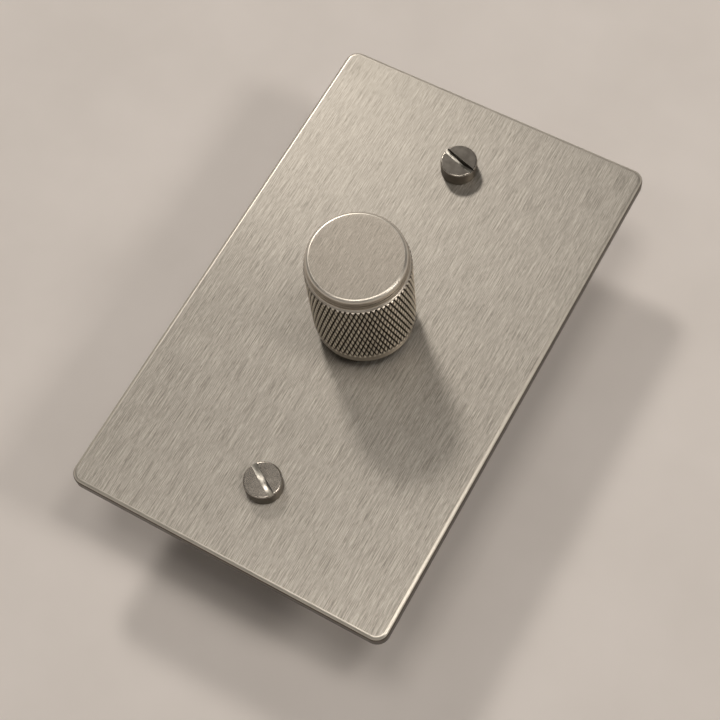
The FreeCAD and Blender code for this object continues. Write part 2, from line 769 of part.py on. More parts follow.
def make_shaft():
    """The control shaft with its stop collar and two flats."""
    rod = cylinder("shaft_rod", 0, 0, shaft_back, S.shaft_r, shaft_top - shaft_back)
    collar = cylinder("shaft_collar", 0, 0, collar_back, collar_r, S.collar_thick)
    low = flat_cutter("shaft_low_flat", flat_x, shaft_back - S.cut_over,
                      collar_back - shaft_back + S.cut_over)
    high = flat_cutter("shaft_high_flat", flat_x, knob_roof - S.flat_lead,
                       shaft_top - knob_roof + S.flat_lead + S.cut_over)
    node("control_shaft", cut("shaft_cut", fuse("shaft_blank", rod, collar), low, high))


def make_switch():
    """The push switch: housing, fixed contacts, plunger with its contact ring, and the return spring."""
    bore_r = S.plunger_r + S.plunger_gap
    blank = cylinder("switch_blank", 0, 0, switch_back, bore_r + S.switch_wall, control_back - switch_back)
    bore = cylinder("switch_bore", 0, 0, switch_seat, bore_r, control_back - switch_seat + S.cut_over)
    node("switch_housing", cut("switch_cut", blank, bore))
    pocket_r = S.plunger_r - S.plunger_rim
    ring_in = pocket_r + S.bridge_gap
    ring_out = S.plunger_r - S.bridge_inset
    contacts = [slab(f"contact_{index}", sign * (ring_in + ring_out) / 2, 0, switch_seat, ring_out - ring_in,
                     S.contact_width, S.contact_thick) for index, sign in enumerate((-1, 1))]
    node("fixed_contacts", group("contact_pair", *contacts))
    body = cylinder("plunger_body", 0, 0, plunger_back, S.plunger_r, plunger_top - plunger_back)
    hollow = cylinder("plunger_pocket", 0, 0, plunger_back - S.cut_over, pocket_r, S.pocket_deep + S.cut_over)
    node("switch_plunger", cut("plunger_cut", body, hollow))
    ring = cylinder("bridge_ring", 0, 0, bridge_back, ring_out, S.bridge_thick)
    eye = cylinder("bridge_eye", 0, 0, bridge_back - S.cut_over, ring_in, S.bridge_thick + 2 * S.cut_over)
    node("contact_bridge", cut("bridge_cut", ring, eye))
    wire_r = SIZES["spring_wire_r"]
    coil_r = pocket_r.value - SIZES["spring_side"] - wire_r
    rise = (pocket_roof - switch_seat).value - 2 * wire_r
    helix = Part.makeHelix(rise / SIZES["spring_turns"], rise, coil_r)
    start = Part.Wire(Part.makeCircle(wire_r, Vector(coil_r, 0, 0), Vector(0, 1, 0)))
    spring = doc.addObject("Part::Feature", "spring")
    spring.Shape = Part.Wire(helix.Edges).makePipeShell([start], True, True)
    spring.Placement = FreeCAD.Placement(Vector(0, 0, switch_seat.value + wire_r), Rotation())
    node("return_spring", spring)


def knurl_ring():
    """The diamond knurl: flat-sided points in staggered rows, over a smooth bore."""
    count = round(SIZES["knurl_count"])
    rows = round(SIZES["knurl_rows"])
    low = knurl_bottom.value
    step = (knurl_top.value - low) / rows
    tip_r = SIZES["knurl_r"]
    root_r = knurl_root_r.value
    bore_r = root_r - 2 * SIZES["knurl_bite"]
    sides = 2 * count
    lattice = []
    for row in range(rows + 1):
        ring = []
        for side in range(sides):
            radius = tip_r if (row + side) % 2 else root_r
            angle = math.pi * side / count
            ring.append(Vector(radius * math.cos(angle), radius * math.sin(angle), low + row * step))
        lattice.append(ring)
    faces = []
    for row in range(rows):
        for side in range(sides):
            after = (side + 1) % sides
            a, b = lattice[row][side], lattice[row][after]
            c, d = lattice[row + 1][after], lattice[row + 1][side]
            # The shared edge of each cell runs between its two roots, along the groove.
            corners = ((a, b, c), (a, c, d)) if (row + side) % 2 == 0 else ((a, b, d), (b, c, d))
            for triangle in corners:
                faces.append(Part.Face(Part.makePolygon([*triangle, triangle[0]])))
    for ring in (lattice[0], lattice[-1]):
        faces.append(Part.Face(Part.makePolygon([*ring, ring[0]])))
    shell = Part.makeShell(faces)
    solid = Part.makeSolid(shell)
    bore = Part.makeCylinder(bore_r, knurl_top.value - low + 2.0, Vector(0, 0, low - 1.0))
    ring = doc.addObject("Part::Feature", "knurl")
    ring.Shape = solid.cut(bore)
    return ring


def make_knob():
    """The hollow knob, turned in one piece with its knurl, and the sleeve that grips the shaft."""
    core_r = knurl_root_r - S.knurl_bite
    rim_r = S.knurl_r - S.rim_step
    ledge_r = S.knurl_r - S.ledge_step
    lip_r = ledge_r - S.ledge_run
    ledge_low = knurl_top + S.ledge_rise
    ledge_top = ledge_low + S.ledge_high
    groove_r = lip_r - S.groove_deep
    groove_top = ledge_top + S.groove_high
    bore_r = insert_r + S.insert_gap
    points = [
        (cavity_r, knob_foot),
        (rim_r - S.foot_chamfer, knob_foot),
        (rim_r, knob_foot + S.foot_chamfer),
        (rim_r, knurl_bottom),
        (core_r, knurl_bottom),
        (core_r, knurl_top),
        (ledge_r, knurl_top),
        (ledge_r, ledge_low),
        (lip_r, ledge_top),
        (groove_r, ledge_top),
        (groove_r, groove_top),
        (lip_r, groove_top),
        (lip_r, knob_top),
        (0, knob_top),
        (0, insert_top),
        (bore_r, insert_top),
        (bore_r, knob_roof),
        (cavity_r, knob_roof),
    ]
    body = new_body("knob_core")
    section = new_sketch(body, "knob_section", "XZ_Plane")
    sketch_profile(section, points)
    turned = body.newObject("PartDesign::Revolution", "knob_turn")
    turned.Profile = section
    turned.ReferenceAxis = (section, ["V_Axis"])
    turned.Angle = 360.0
    fillet(body, turned, "knob_top_edge", S.lip_edge_r, at_height(knob_top.value))
    joined = doc.addObject("Part::Fuse", "knob_joined")
    joined.Base = body
    joined.Tool = knurl_ring()
    node("knob", joined)
    sleeve = cylinder("sleeve_blank", 0, 0, knob_roof, insert_r, insert_top - knob_roof)
    round_bore = cylinder("sleeve_bore", 0, 0, knob_roof - S.cut_over, shaft_bore_r,
                          insert_top - knob_roof + 2 * S.cut_over)
    land = flat_cutter("sleeve_land", flat_x + S.shaft_gap, knob_roof - 2 * S.cut_over,
                       insert_top - knob_roof + 4 * S.cut_over)
    node("knob_insert", cut("sleeve_cut", sleeve, cut("sleeve_flat_bore", round_bore, land)))


def make_power_parts():
    """The heat sink on the board, the triac against it and the screw that holds the triac."""
    triac_x = room_x - S.triac_side_gap - S.triac_thick
    sink_x = triac_x - S.sink_thick
    sink_z = case_floor + S.sink_floor_gap
    body_top = board_back - S.triac_lead_long
    body_back = body_top - S.triac_body_high
    tab_back = body_back - S.triac_tab_high
    screw_z = tab_back + S.triac_tab_high / 2
    hole_r = S.triac_screw_r + S.triac_screw_gap
    plate = box("sink_plate", sink_x, -S.sink_width / 2, sink_z, S.sink_thick, S.sink_width,
                board_back - sink_z)
    sink_hole = cylinder("sink_hole", sink_x - S.cut_over, 0, screw_z, hole_r,
                         S.sink_thick + 2 * S.cut_over, along_x)
    node("heat_sink", cut("sink_cut", plate, sink_hole))
    case = box("triac_body", triac_x, -S.triac_width / 2, body_back, S.triac_thick, S.triac_width,
               S.triac_body_high)
    tab = box("triac_tab", triac_x, -S.triac_width / 2, tab_back, S.triac_tab_thick, S.triac_width,
              S.triac_tab_high + S.triac_body_high / 2)
    leads = [box(f"triac_lead_{index}", triac_x + S.triac_thick / 2,
                 sign * S.triac_lead_pitch - S.triac_lead_width / 2, body_top - S.triac_body_high / 2,
                 S.triac_lead_thick, S.triac_lead_width, S.triac_lead_long + S.triac_body_high / 2)
             for index, sign in enumerate((-1, 0, 1))]
    tab_hole = cylinder("triac_hole", triac_x - S.cut_over, 0, screw_z, hole_r,
                        S.triac_tab_thick + 2 * S.cut_over, along_x)
    node("power_triac", cut("triac_cut", fuse("triac_blank", case, tab, *leads), tab_hole))
    head_x = triac_x + S.triac_tab_thick
    head = cylinder("triac_head", head_x, 0, screw_z, S.triac_head_r, S.triac_head_high, along_x)
    shank = cylinder("triac_shank", sink_x - S.triac_screw_tail, 0, screw_z, S.triac_screw_r,
                     head_x - sink_x + S.triac_screw_tail + S.triac_head_high / 2, along_x)
    node("triac_screw", fuse("triac_screw_whole", head, shank))


def make_filter_parts():
    """The choke, the film capacitor, the fuse in its clips and the timing resistors."""
    choke_x = -room_x + S.choke_side + choke_reach
    choke_z = board_back - choke_loop_r - S.choke_wire_r
    core = doc.addObject("Part::Torus", "choke_ring")
    bind(core, Radius1=S.choke_ring_r, Radius2=S.choke_core_r)
    node("choke_core", place(core, choke_x, choke_y, choke_z))
    turns = round(SIZES["choke_turns"])
    loops = []
    for index in range(turns):
        angle = 360.0 * index / turns
        loop = doc.addObject("Part::Torus", f"choke_loop_{index}")
        bind(loop, Radius1=choke_loop_r, Radius2=S.choke_wire_r)
        radians = math.radians(angle)
        across = Rotation(Vector(0, 0, 1), angle) * Rotation(Vector(1, 0, 0), 90)
        loops.append(place(loop, choke_x + S.choke_ring_r * math.cos(radians),
                           choke_y + S.choke_ring_r * math.sin(radians), choke_z, across))
    node("choke_winding", group("choke_loops", *loops))
    node("film_capacitor", box("capacitor", choke_x + choke_reach + S.capacitor_gap,
                               choke_y - S.capacitor_wide / 2,
                               board_back - S.capacitor_tall, S.capacitor_long, S.capacitor_wide,
                               S.capacitor_tall))
    fuse_x = -(tube_r + S.side_room / 2)
    cap_r = S.fuse_r + S.fuse_cap_step
    fuse_z = board_back - S.fuse_stand - cap_r
    tube = cylinder("fuse_tube", fuse_x, -S.fuse_long / 2, fuse_z, S.fuse_r, S.fuse_long, along_y)
    caps = [cylinder(f"fuse_cap_{index}", fuse_x, start, fuse_z, cap_r, S.fuse_cap_long, along_y)
            for index, start in enumerate((-S.fuse_long / 2, S.fuse_long / 2 - S.fuse_cap_long))]
    node("fuse", fuse("fuse_whole", tube, *caps))
    clips = []
    for index, sign in enumerate((-1, 1)):
        middle = sign * (S.fuse_long - S.fuse_cap_long) / 2
        wide = 2 * (cap_r + S.clip_gap + S.clip_wall)
        block = slab(f"clip_block_{index}", fuse_x, middle, fuse_z, wide, S.fuse_cap_long,
                     board_back - fuse_z)
        seat = cylinder(f"clip_seat_{index}", fuse_x, middle - S.fuse_cap_long / 2 - S.cut_over, fuse_z,
                        cap_r + S.clip_gap,
                        S.fuse_cap_long + 2 * S.cut_over, along_y)
        clips.append(cut(f"clip_{index}", block, seat))
    node("fuse_clips", group("clip_pair", *clips))
    resistors = []
    resistor_z = board_back - S.resistor_stand - S.resistor_r
    for index, sign in enumerate((-1, 1)):
        middle = sign * (S.resistor_long + S.resistor_apart) / 2
        body = cylinder(f"resistor_body_{index}", middle - S.resistor_long / 2, resistor_y, resistor_z,
                        S.resistor_r,
                        S.resistor_long, along_x)
        legs = [slab(f"resistor_leg_{index}_{end}",
                     middle + side * (S.resistor_long + S.resistor_lead) / 2, resistor_y,
                     resistor_z - S.resistor_lead / 2, S.resistor_lead, S.resistor_lead,
                     board_back - resistor_z + S.resistor_lead / 2) for end, side in enumerate((-1, 1))]
        resistors.append(fuse(f"resistor_{index}", body, *legs))
    node("timing_resistors", group("resistor_pair", *resistors))


def make_terminals():
    """The wire terminals: a moulded block with three cage clamps and their screws."""
    places, width = pole_places()
    block = slab("block_blank", 0, block_front_y + S.block_deep / 2, case_floor, width, S.block_deep,
                 board_back - case_floor)
    head_hole_r = S.terminal_head_r + S.terminal_head_gap
    room_long = S.cage_long + 2 * S.cage_gap
    screw_y_at = cage_y + S.cage_long / 2
    tools = []
    clamps = []
    screws = []
    for index, x in enumerate(places):
        tools.append(box(f"cage_room_{index}", x - cage_width / 2 - S.cage_gap, block_front_y - S.cut_over,
                         cage_back,
                         cage_width + 2 * S.cage_gap, room_long + S.cut_over, cage_high + S.cage_gap))
        tools.append(cylinder(f"head_room_{index}", x, screw_y_at, case_floor - S.cut_over, head_hole_r,
                              S.block_cap + 2 * S.cut_over))
        shell = box(f"cage_blank_{index}", x - cage_width / 2, cage_y, cage_back, cage_width, S.cage_long,
                    cage_high)
        way = box(f"cage_way_{index}", x - S.wire_width / 2, cage_y - S.cut_over, cage_back + S.cage_wall,
                  S.wire_width,
                  S.cage_long + 2 * S.cut_over, S.wire_high)
        thread = cylinder(f"cage_thread_{index}", x, screw_y_at, cage_back - S.cut_over,
                          S.terminal_screw_r + S.terminal_screw_gap, S.cage_wall + 2 * S.cut_over)
        clamps.append(cut(f"cage_{index}", shell, way, thread))
        head = cylinder(f"terminal_head_{index}", x, screw_y_at, cage_back - S.terminal_head_high,
                        S.terminal_head_r,
                        S.terminal_head_high)
        shank = cylinder(f"terminal_shank_{index}", x, screw_y_at, cage_back - S.terminal_head_high / 2,
                         S.terminal_screw_r,
                         S.terminal_head_high / 2 + S.cage_wall + S.terminal_screw_tail)
        slot = slab(f"terminal_slot_{index}", x, screw_y_at, cage_back - S.terminal_head_high - S.cut_over,
                    2 * (S.terminal_head_r + S.cut_over), S.slot_width / 2,
                    S.cut_over + S.terminal_head_high / 3)
        screws.append(cut(f"terminal_screw_{index}", fuse(f"terminal_blank_{index}", head, shank), slot))
    node("terminal_block", cut("block_cut", block, *tools))
    node("terminal_clamps", group("cage_set", *clamps))
    node("terminal_screws", group("terminal_screw_set", *screws))


def check_and_write():
    """Stop on any failed object, then write each sub-part to its own file."""
    doc.recompute()
    for obj in doc.Objects:
        if "Invalid" in obj.State or "Error" in obj.State:
            raise RuntimeError(f"{obj.Name} failed: {obj.State}")
    os.makedirs("parts", exist_ok=True)
    for obj in nodes:
        shape = obj.Shape
        if shape.isNull() or not shape.isValid() or not shape.Solids:
            raise RuntimeError(f"{obj.Label} has no valid solid")
        shape.exportStep(f"parts/{obj.Label}.step")
        print(f"{obj.Label}: {len(shape.Solids)} solids, {shape.Volume:.1f} mm3")


make_face_plate()
make_plate_screws()
make_strap()
make_bush()
make_cover()
make_case()
make_board()
make_control()
make_rotor()
make_shaft()
make_switch()
make_knob()
make_power_parts()
make_filter_parts()
make_terminals()
check_and_write()
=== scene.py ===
"""Rotary dimmer switch: brushed face plate, knurled knob, slotted screws and the module behind.

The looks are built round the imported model, in its own frame: metres, the origin at the centre of the
plate's rear face, +Z out of the wall along the knob's axis and +Y up the plate. The sub-assemblies and
the finishes hold their sizes in millimetres.
"""
import logging
import math
from dataclasses import dataclass
from enum import Enum, IntEnum
from typing import Iterable, Sequence, Union

import bmesh
import bpy
from bmesh.types import BMEdge, BMesh, BMFace, BMVert
from bpy.types import Material, Mesh, Node, NodeSocket, Object, World
from mathutils import Matrix, Vector

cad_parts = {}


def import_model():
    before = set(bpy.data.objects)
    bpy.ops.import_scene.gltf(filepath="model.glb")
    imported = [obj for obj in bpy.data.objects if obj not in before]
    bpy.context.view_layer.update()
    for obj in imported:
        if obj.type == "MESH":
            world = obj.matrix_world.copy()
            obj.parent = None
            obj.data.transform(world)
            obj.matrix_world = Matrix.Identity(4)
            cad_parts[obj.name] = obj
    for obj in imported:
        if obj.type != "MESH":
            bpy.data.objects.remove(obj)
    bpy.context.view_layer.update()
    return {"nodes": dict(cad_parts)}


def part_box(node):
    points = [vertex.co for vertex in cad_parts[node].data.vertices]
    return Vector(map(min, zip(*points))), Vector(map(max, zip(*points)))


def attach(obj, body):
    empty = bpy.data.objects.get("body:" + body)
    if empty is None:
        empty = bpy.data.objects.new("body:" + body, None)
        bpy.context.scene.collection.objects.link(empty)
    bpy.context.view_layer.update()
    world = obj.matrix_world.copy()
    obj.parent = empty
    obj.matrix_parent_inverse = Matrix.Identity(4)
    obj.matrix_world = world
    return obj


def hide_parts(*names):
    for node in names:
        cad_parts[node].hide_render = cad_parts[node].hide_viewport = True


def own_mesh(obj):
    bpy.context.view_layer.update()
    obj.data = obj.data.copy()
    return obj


LOG = logging.getLogger("dimmer")
MM = 0.001
FULL_TURN = 2.0 * math.pi
WELD = 0.002 * MM
CUT = WELD / 4.0
WARM_WHITE = (1.0, 0.965, 0.92)

# A step of noise so long, in millimetres, that the pattern doesn't change along its axis.
EVEN = 1.0e4
# The middle of a noise, the ranges that hold most of its values, and a whole share.
MIDDLE = 0.5
NOISE_SPAN = (0.3, 0.7)
TONE_SPAN = (0.35, 0.65)
WHOLE = (0.0, 1.0)

Colour = tuple[float, float, float]
Place = tuple[float, float, float]
Ring = tuple[float, float]
Value = Union[float, Sequence[float], NodeSocket]
Inputs = dict[Union[str, int], Value]


class Body(Enum):
    """The moving bodies that pieces ride on."""

    HOUSING = "housing"
    SPINDLE = "spindle"


class Slot(Enum):
    """The record's material slots, by name."""

    PLATE = "plate_metal"
    KNOB = "knob_metal"
    SCREW = "screw_metal"
    SPRING = "zinc_steel"


class PlatePaint(IntEnum):
    """The material numbers of the plate's faces."""

    FACE = 0
    EDGE = 1
    BEVEL = 2


class KnobPaint(IntEnum):
    """The material numbers of the knob's faces."""

    CROWN = 0
    KNURL = 1
    TURNED = 2
    LIP = 3


class ScrewPaint(IntEnum):
    """The material numbers of the plate screws' faces."""

    HEAD = 0
    SAWN = 1
    WALL = 2
    SIDE = 3


# ---- Finishes


class Graph:
    """A short way to write the nodes of one material, or of the world."""

    def __init__(self, owner: Union[Material, World]) -> None:
        """Start with no nodes.

        Args:
            owner: The material or the world that the nodes belong to.
        """
        self.owner = owner
        owner.use_nodes = True
        self.tree = owner.node_tree
        self.tree.nodes.clear()

    def add(self, kind: str, inputs: Inputs, **settings: object) -> Node:
        """Add a node.

        Args:
            kind: The node's type, without its ShaderNode prefix.
            inputs: Its sockets, by name or number, with a value or the socket that feeds them.
            settings: The node's own properties.

        Returns:
            The new node.
        """
        node = self.tree.nodes.new("ShaderNode" + kind)
        for name, setting in settings.items():
            setattr(node, name, setting)
        for name, value in inputs.items():
            if isinstance(value, NodeSocket):
                self.tree.links.new(value, node.inputs[name])
            else:
                node.inputs[name].default_value = value
        return node

    def where(self) -> NodeSocket:
        """Return the point on the piece, in the frame."""
        return self.add("TexCoord", {}).outputs["Object"]

    def grain(self, point: NodeSocket, size: Sequence[float]) -> NodeSocket:
        """Return the point scaled so that one step of noise is size millimetres long on each axis."""
        scale = [1.0 / (length * MM) for length in size]
        return self.add("Mapping", {"Vector": point, "Scale": scale}, vector_type="POINT").outputs[0]

    def noise(self, point: NodeSocket, size: Sequence[float], detail: float) -> NodeSocket:
        """Return noise between 0 and 1.

        Args:
            point: Where it is read.
            size: The length of one step on each axis, in millimetres.
            detail: How many finer layers it has.

        Returns:
            The noise's value.
        """
        inputs = {"Vector": self.grain(point, size), "Scale": 1.0, "Detail": detail, "Roughness": 0.55}
        return self.add("TexNoise", inputs).outputs["Fac"]

    def between(self, value: NodeSocket, source: Ring, target: Ring) -> NodeSocket:
        """Return value moved from one range to another, and held inside it."""
        inputs = {0: value, 1: source[0], 2: source[1], 3: target[0], 4: target[1]}
        return self.add("MapRange", inputs, clamp=True).outputs[0]

    def reckon(self, operation: str, first: Value, second: Value) -> NodeSocket:
        """Return what one arithmetic operation makes of two values."""
        return self.add("Math", {0: first, 1: second}, operation=operation).outputs[0]

    def mixed(self, first: NodeSocket, second: NodeSocket, share: float) -> NodeSocket:
        """Return the sum of two values, of which the first has a share and the second has the rest."""
        rest = self.reckon("MULTIPLY", second, 1.0 - share)
        return self.reckon("ADD", self.reckon("MULTIPLY", first, share), rest)

    def blend(self, share: NodeSocket, first: Colour, second: Colour) -> NodeSocket:
        """Return a colour between two others."""
        inputs = {0: share, 6: (*first, 1.0), 7: (*second, 1.0)}
        return self.add("Mix", inputs, data_type="RGBA").outputs[2]

    def bump(self, height: NodeSocket, depth: float) -> NodeSocket:
        """Return a normal bent by a height of depth millimetres."""
        inputs = {"Height": height, "Distance": depth * MM, "Strength": 1.0}
        return self.add("Bump", inputs).outputs["Normal"]

    def axis(self, direction: Sequence[float]) -> NodeSocket:
        """Return one fixed direction of the piece, which turns with it.

        Args:
            direction: The direction, in the frame.

        Returns:
            The direction in the world.
        """
        along = self.add("CombineXYZ", dict(enumerate(direction))).outputs[0]
        turned = self.add("VectorTransform", {0: along}, vector_type="VECTOR", convert_from="OBJECT",
                          convert_to="WORLD")
        return turned.outputs[0]

    def radius(self, point: NodeSocket) -> NodeSocket:
        """Return the distance from the knob's axis, in metres."""
        flat = self.add("VectorMath", {0: point, 1: (1.0, 1.0, 0.0)}, operation="MULTIPLY").outputs[0]
        return self.add("VectorMath", {0: flat}, operation="LENGTH").outputs["Value"]

    def height(self, point: NodeSocket) -> NodeSocket:
        """Return the height along the knob's axis, in metres."""
        return self.add("SeparateXYZ", {0: point}).outputs["Z"]

    def surface(self, inputs: Inputs) -> Material:
        """Close the material with its shader.

        Args:
            inputs: The shader's sockets, with their values or the sockets that feed them.

        Returns:
            The finished material.
        """
        shader = self.add("BsdfPrincipled", inputs)
        self.add("OutputMaterial", {"Surface": shader.outputs[0]})
        return self.owner


class Finish:
    """A surface that is made once and shared."""

    name: str

    def make(self) -> Material:
        """Write the material's nodes."""
        raise NotImplementedError

    def material(self) -> Material:
        """Return the material, made on first use."""
        return bpy.data.materials.get(self.name) or self.make()


@dataclass(frozen=True)
class BrushedMetal(Finish):
    """Metal with a straight satin grain along Y."""

    name: str
    dark: Colour
    light: Colour
    roughness: Ring
    spread: float
    scratch: float
    coarse: float = 1.0
    stroke: float = 0.45
    slip: float = 9.0
    long_mark: Ring = (0.15, 7.0)
    short_mark: Ring = (0.12, 1.3)
    patch: Ring = (0.6, 3.0)
    patch_depth: Ring = (0.5, 1.2)
    long_share: float = 0.6
    contrast: float = 0.11

    def make(self) -> Material:
        """Lay long and short scratches over each other, plainer in some patches than in others.

        Returns:
            The material.
        """
        graph = Graph(bpy.data.materials.new(self.name))
        point = graph.where()
        stroke = graph.noise(point, (self.stroke * self.coarse, EVEN, EVEN), detail=1.0)
        slip = graph.reckon("MULTIPLY", stroke, self.slip * self.coarse * MM)
        shift = graph.add("CombineXYZ", {"Y": slip}).outputs[0]
        slid = graph.add("VectorMath", {0: point, 1: shift}, operation="ADD").outputs[0]
        long, short, patch = (
            graph.noise(slid, (width * self.coarse, length * self.coarse, EVEN), detail=1.0)
            for width, length in (self.long_mark, self.short_mark, self.patch)
        )
        lines = graph.mixed(long, short, self.long_share)
        depth = graph.between(patch, TONE_SPAN, self.patch_depth)
        marks = graph.reckon("MULTIPLY", graph.reckon("SUBTRACT", lines, MIDDLE), depth)
        share = graph.between(marks, (-self.contrast, self.contrast), WHOLE)
        return graph.surface({
            "Base Color": graph.blend(share, self.dark, self.light),
            "Metallic": 1.0,
            "Roughness": graph.between(long, NOISE_SPAN, self.roughness),
            "Anisotropic": self.spread,
            "Tangent": graph.axis((1.0, 0.0, 0.0)),
            "Normal": graph.bump(lines, self.scratch),
        })


@dataclass(frozen=True)
class TurnedMetal(Finish):
    """Metal with fine rings left by the lathe round the knob's axis."""

    name: str
    dark: Colour
    light: Colour
    roughness: Ring
    scratch: float
    ring: float = 0.09
    blotch: float = 3.0
    ring_share: float = 0.7
    span: Ring = (0.32, 0.68)

    def make(self) -> Material:
        """Draw rings over the radius and the height.

        Returns:
            The material.
        """
        graph = Graph(bpy.data.materials.new(self.name))
        point = graph.where()
        turned = graph.add("CombineXYZ", {"X": graph.radius(point), "Y": graph.height(point)}).outputs[0]
        lines = graph.noise(turned, (self.ring, self.ring, 1.0), detail=3.0)
        cloud = graph.noise(point, (self.blotch,) * 3, detail=2.0)
        share = graph.between(graph.mixed(lines, cloud, self.ring_share), self.span, WHOLE)
        return graph.surface({
            "Base Color": graph.blend(share, self.dark, self.light),
            "Metallic": 1.0,
            "Roughness": graph.between(cloud, NOISE_SPAN, self.roughness),
            "Normal": graph.bump(lines, self.scratch),
        })


@dataclass(frozen=True)
class KnurlMetal(Finish):
    """Cut metal, painted with shade down in the grooves and a highlight on the points."""

    name: str
    # The groove colour is painted shade and the land colour is a painted highlight.
    groove: Colour
    land: Colour
    root: float
    tip: float
    roughness: Ring
    grain: float = 0.25
    wear: float = 0.2
    painted_light_span: Ring = (0.42, 0.95)
    scratch: float = 0.004

    def make(self) -> Material:
        """Paint shade into the grooves and a highlight onto the points, by the depth under the points.

        Returns:
            The material.
        """
        graph = Graph(bpy.data.materials.new(self.name))
        point = graph.where()
        # Painted shade and highlight: the colour runs from the dark groove to the bright land with the depth
        # under the points.
        depth = graph.between(graph.radius(point), (self.root * MM, self.tip * MM), WHOLE)
        cloud = graph.noise(point, (self.grain,) * 3, detail=3.0)
        wear = graph.reckon("MULTIPLY", graph.reckon("SUBTRACT", cloud, MIDDLE), self.wear)
        share = graph.between(graph.reckon("ADD", depth, wear), self.painted_light_span, WHOLE)
        return graph.surface({
            "Base Color": graph.blend(share, self.groove, self.land),
            "Metallic": 1.0,
            "Roughness": graph.between(share, WHOLE, self.roughness),
            "Normal": graph.bump(cloud, self.scratch),
        })


@dataclass(frozen=True)
class SatinMetal(Finish):
    """Plain tumbled or plated metal with faint blotches."""

    name: str
    dark: Colour
    light: Colour
    roughness: Ring
    blotch: float
    scratch: float = 0.004
    tumble: float = 0.18
    blotch_share: float = 0.6

    def make(self) -> Material:
        """Mix blotches with a fine tumbled grain.

        Returns:
            The material.
        """
        graph = Graph(bpy.data.materials.new(self.name))
        point = graph.where()
        cloud = graph.noise(point, (self.blotch,) * 3, detail=3.0)
        fine = graph.noise(point, (self.tumble,) * 3, detail=3.0)
        share = graph.between(graph.mixed(cloud, fine, self.blotch_share), TONE_SPAN, WHOLE)
        return graph.surface({
            "Base Color": graph.blend(share, self.dark, self.light),
            "Metallic": 1.0,
            "Roughness": graph.between(cloud, NOISE_SPAN, self.roughness),
            "Normal": graph.bump(fine, self.scratch),
        })


@dataclass(frozen=True)
class Moulding(Finish):
    """Moulded or coated stock with a fine sparked grain."""

    name: str
    dark: Colour
    light: Colour
    roughness: Ring
    grain_size: float = 0.22
    grain_depth: float = 0.012
    flow: float = 7.0
    flow_share: float = 0.65

    def make(self) -> Material:
        """Mix flow marks with the grain.

        Returns:
            The material.
        """
        graph = Graph(bpy.data.materials.new(self.name))
        point = graph.where()
        flow = graph.noise(point, (self.flow,) * 3, detail=3.0)
        fine = graph.noise(point, (self.grain_size,) * 3, detail=2.0)
        share = graph.between(graph.mixed(flow, fine, self.flow_share), TONE_SPAN, WHOLE)
        return graph.surface({
            "Base Color": graph.blend(share, self.dark, self.light),
            "Roughness": graph.between(fine, NOISE_SPAN, self.roughness),
            "Normal": graph.bump(fine, self.grain_depth),
        })


@dataclass(frozen=True)
class PaleFloor(Finish):
    """The plain pale floor."""

    name: str
    dark: Colour
    light: Colour
    mottle: float = 30.0
    roughness: float = 0.85

    def make(self) -> Material:
        """Keep to one pale tone with a trace of mottling.

        Returns:
            The material.
        """
        graph = Graph(bpy.data.materials.new(self.name))
        cloud = graph.noise(graph.where(), (self.mottle,) * 3, detail=3.0)
        share = graph.between(cloud, NOISE_SPAN, WHOLE)
        return graph.surface({
            "Base Color": graph.blend(share, self.dark, self.light),
            "Roughness": self.roughness,
        })


PLATE_FINISH = BrushedMetal(
    "brushed_plate", (0.228, 0.206, 0.176), (0.451, 0.413, 0.361),
    roughness=(0.44, 0.495), spread=0.62, scratch=0.006)
# Painted shade: the plate's steep side wall is darkened to stand for the shadowed floor that it reflects.
EDGE_SHADE_FINISH = SatinMetal(
    "edge_painted_shade", (0.09, 0.078, 0.063), (0.15, 0.133, 0.111),
    roughness=(0.38, 0.5), blotch=1.2, scratch=0.003)
# The front bevel is polished metal, and its colour is set lighter than the face as a painted highlight along
# the edge.
BEVEL_HIGHLIGHT_FINISH = SatinMetal(
    "polished_bevel_painted_highlight", (0.50, 0.455, 0.39), (0.58, 0.53, 0.455),
    roughness=(0.35, 0.39), blotch=3.0, scratch=0.0003)
CROWN_FINISH = BrushedMetal(
    "brushed_crown", (0.203, 0.178, 0.149), (0.41, 0.37, 0.317),
    roughness=(0.44, 0.52), spread=0.7, scratch=0.003, coarse=0.55)
# The knurl's near-black groove colour is painted shade and its near-white land colour is a painted highlight.
KNURL_FINISH = KnurlMetal(
    "cut_knurl", (0.08, 0.066, 0.049), (0.92, 0.85, 0.74),
    root=10.35, tip=10.8, roughness=(0.6, 0.4))
TURNED_FINISH = TurnedMetal(
    "turned_knob", (0.40, 0.355, 0.295), (0.54, 0.485, 0.415),
    roughness=(0.28, 0.38), scratch=0.003)
# The lip is smoother turned metal, and its colour is set lighter than the rest of the knob as a painted
# highlight.
LIP_HIGHLIGHT_FINISH = TurnedMetal(
    "turned_lip_painted_highlight", (0.50, 0.45, 0.385), (0.64, 0.585, 0.505),
    roughness=(0.32, 0.38), scratch=0.002)
SCREW_FINISH = SatinMetal(
    "screw_head", (0.31, 0.275, 0.235), (0.40, 0.36, 0.31),
    roughness=(0.235, 0.255), blotch=1.6, scratch=0.0003)
SAWN_FINISH = SatinMetal(
    "sawn_slot", (0.42, 0.385, 0.33), (0.58, 0.54, 0.47),
    roughness=(0.34, 0.4), blotch=0.5, scratch=0.001)
# Painted shade: the slot's walls are near black to stand for the shade inside the narrow cut.
SLOT_SHADE_FINISH = SatinMetal(
    "slot_wall_painted_shade", (0.05, 0.044, 0.036), (0.09, 0.08, 0.066),
    roughness=(0.4, 0.5), blotch=0.8, scratch=0.001)
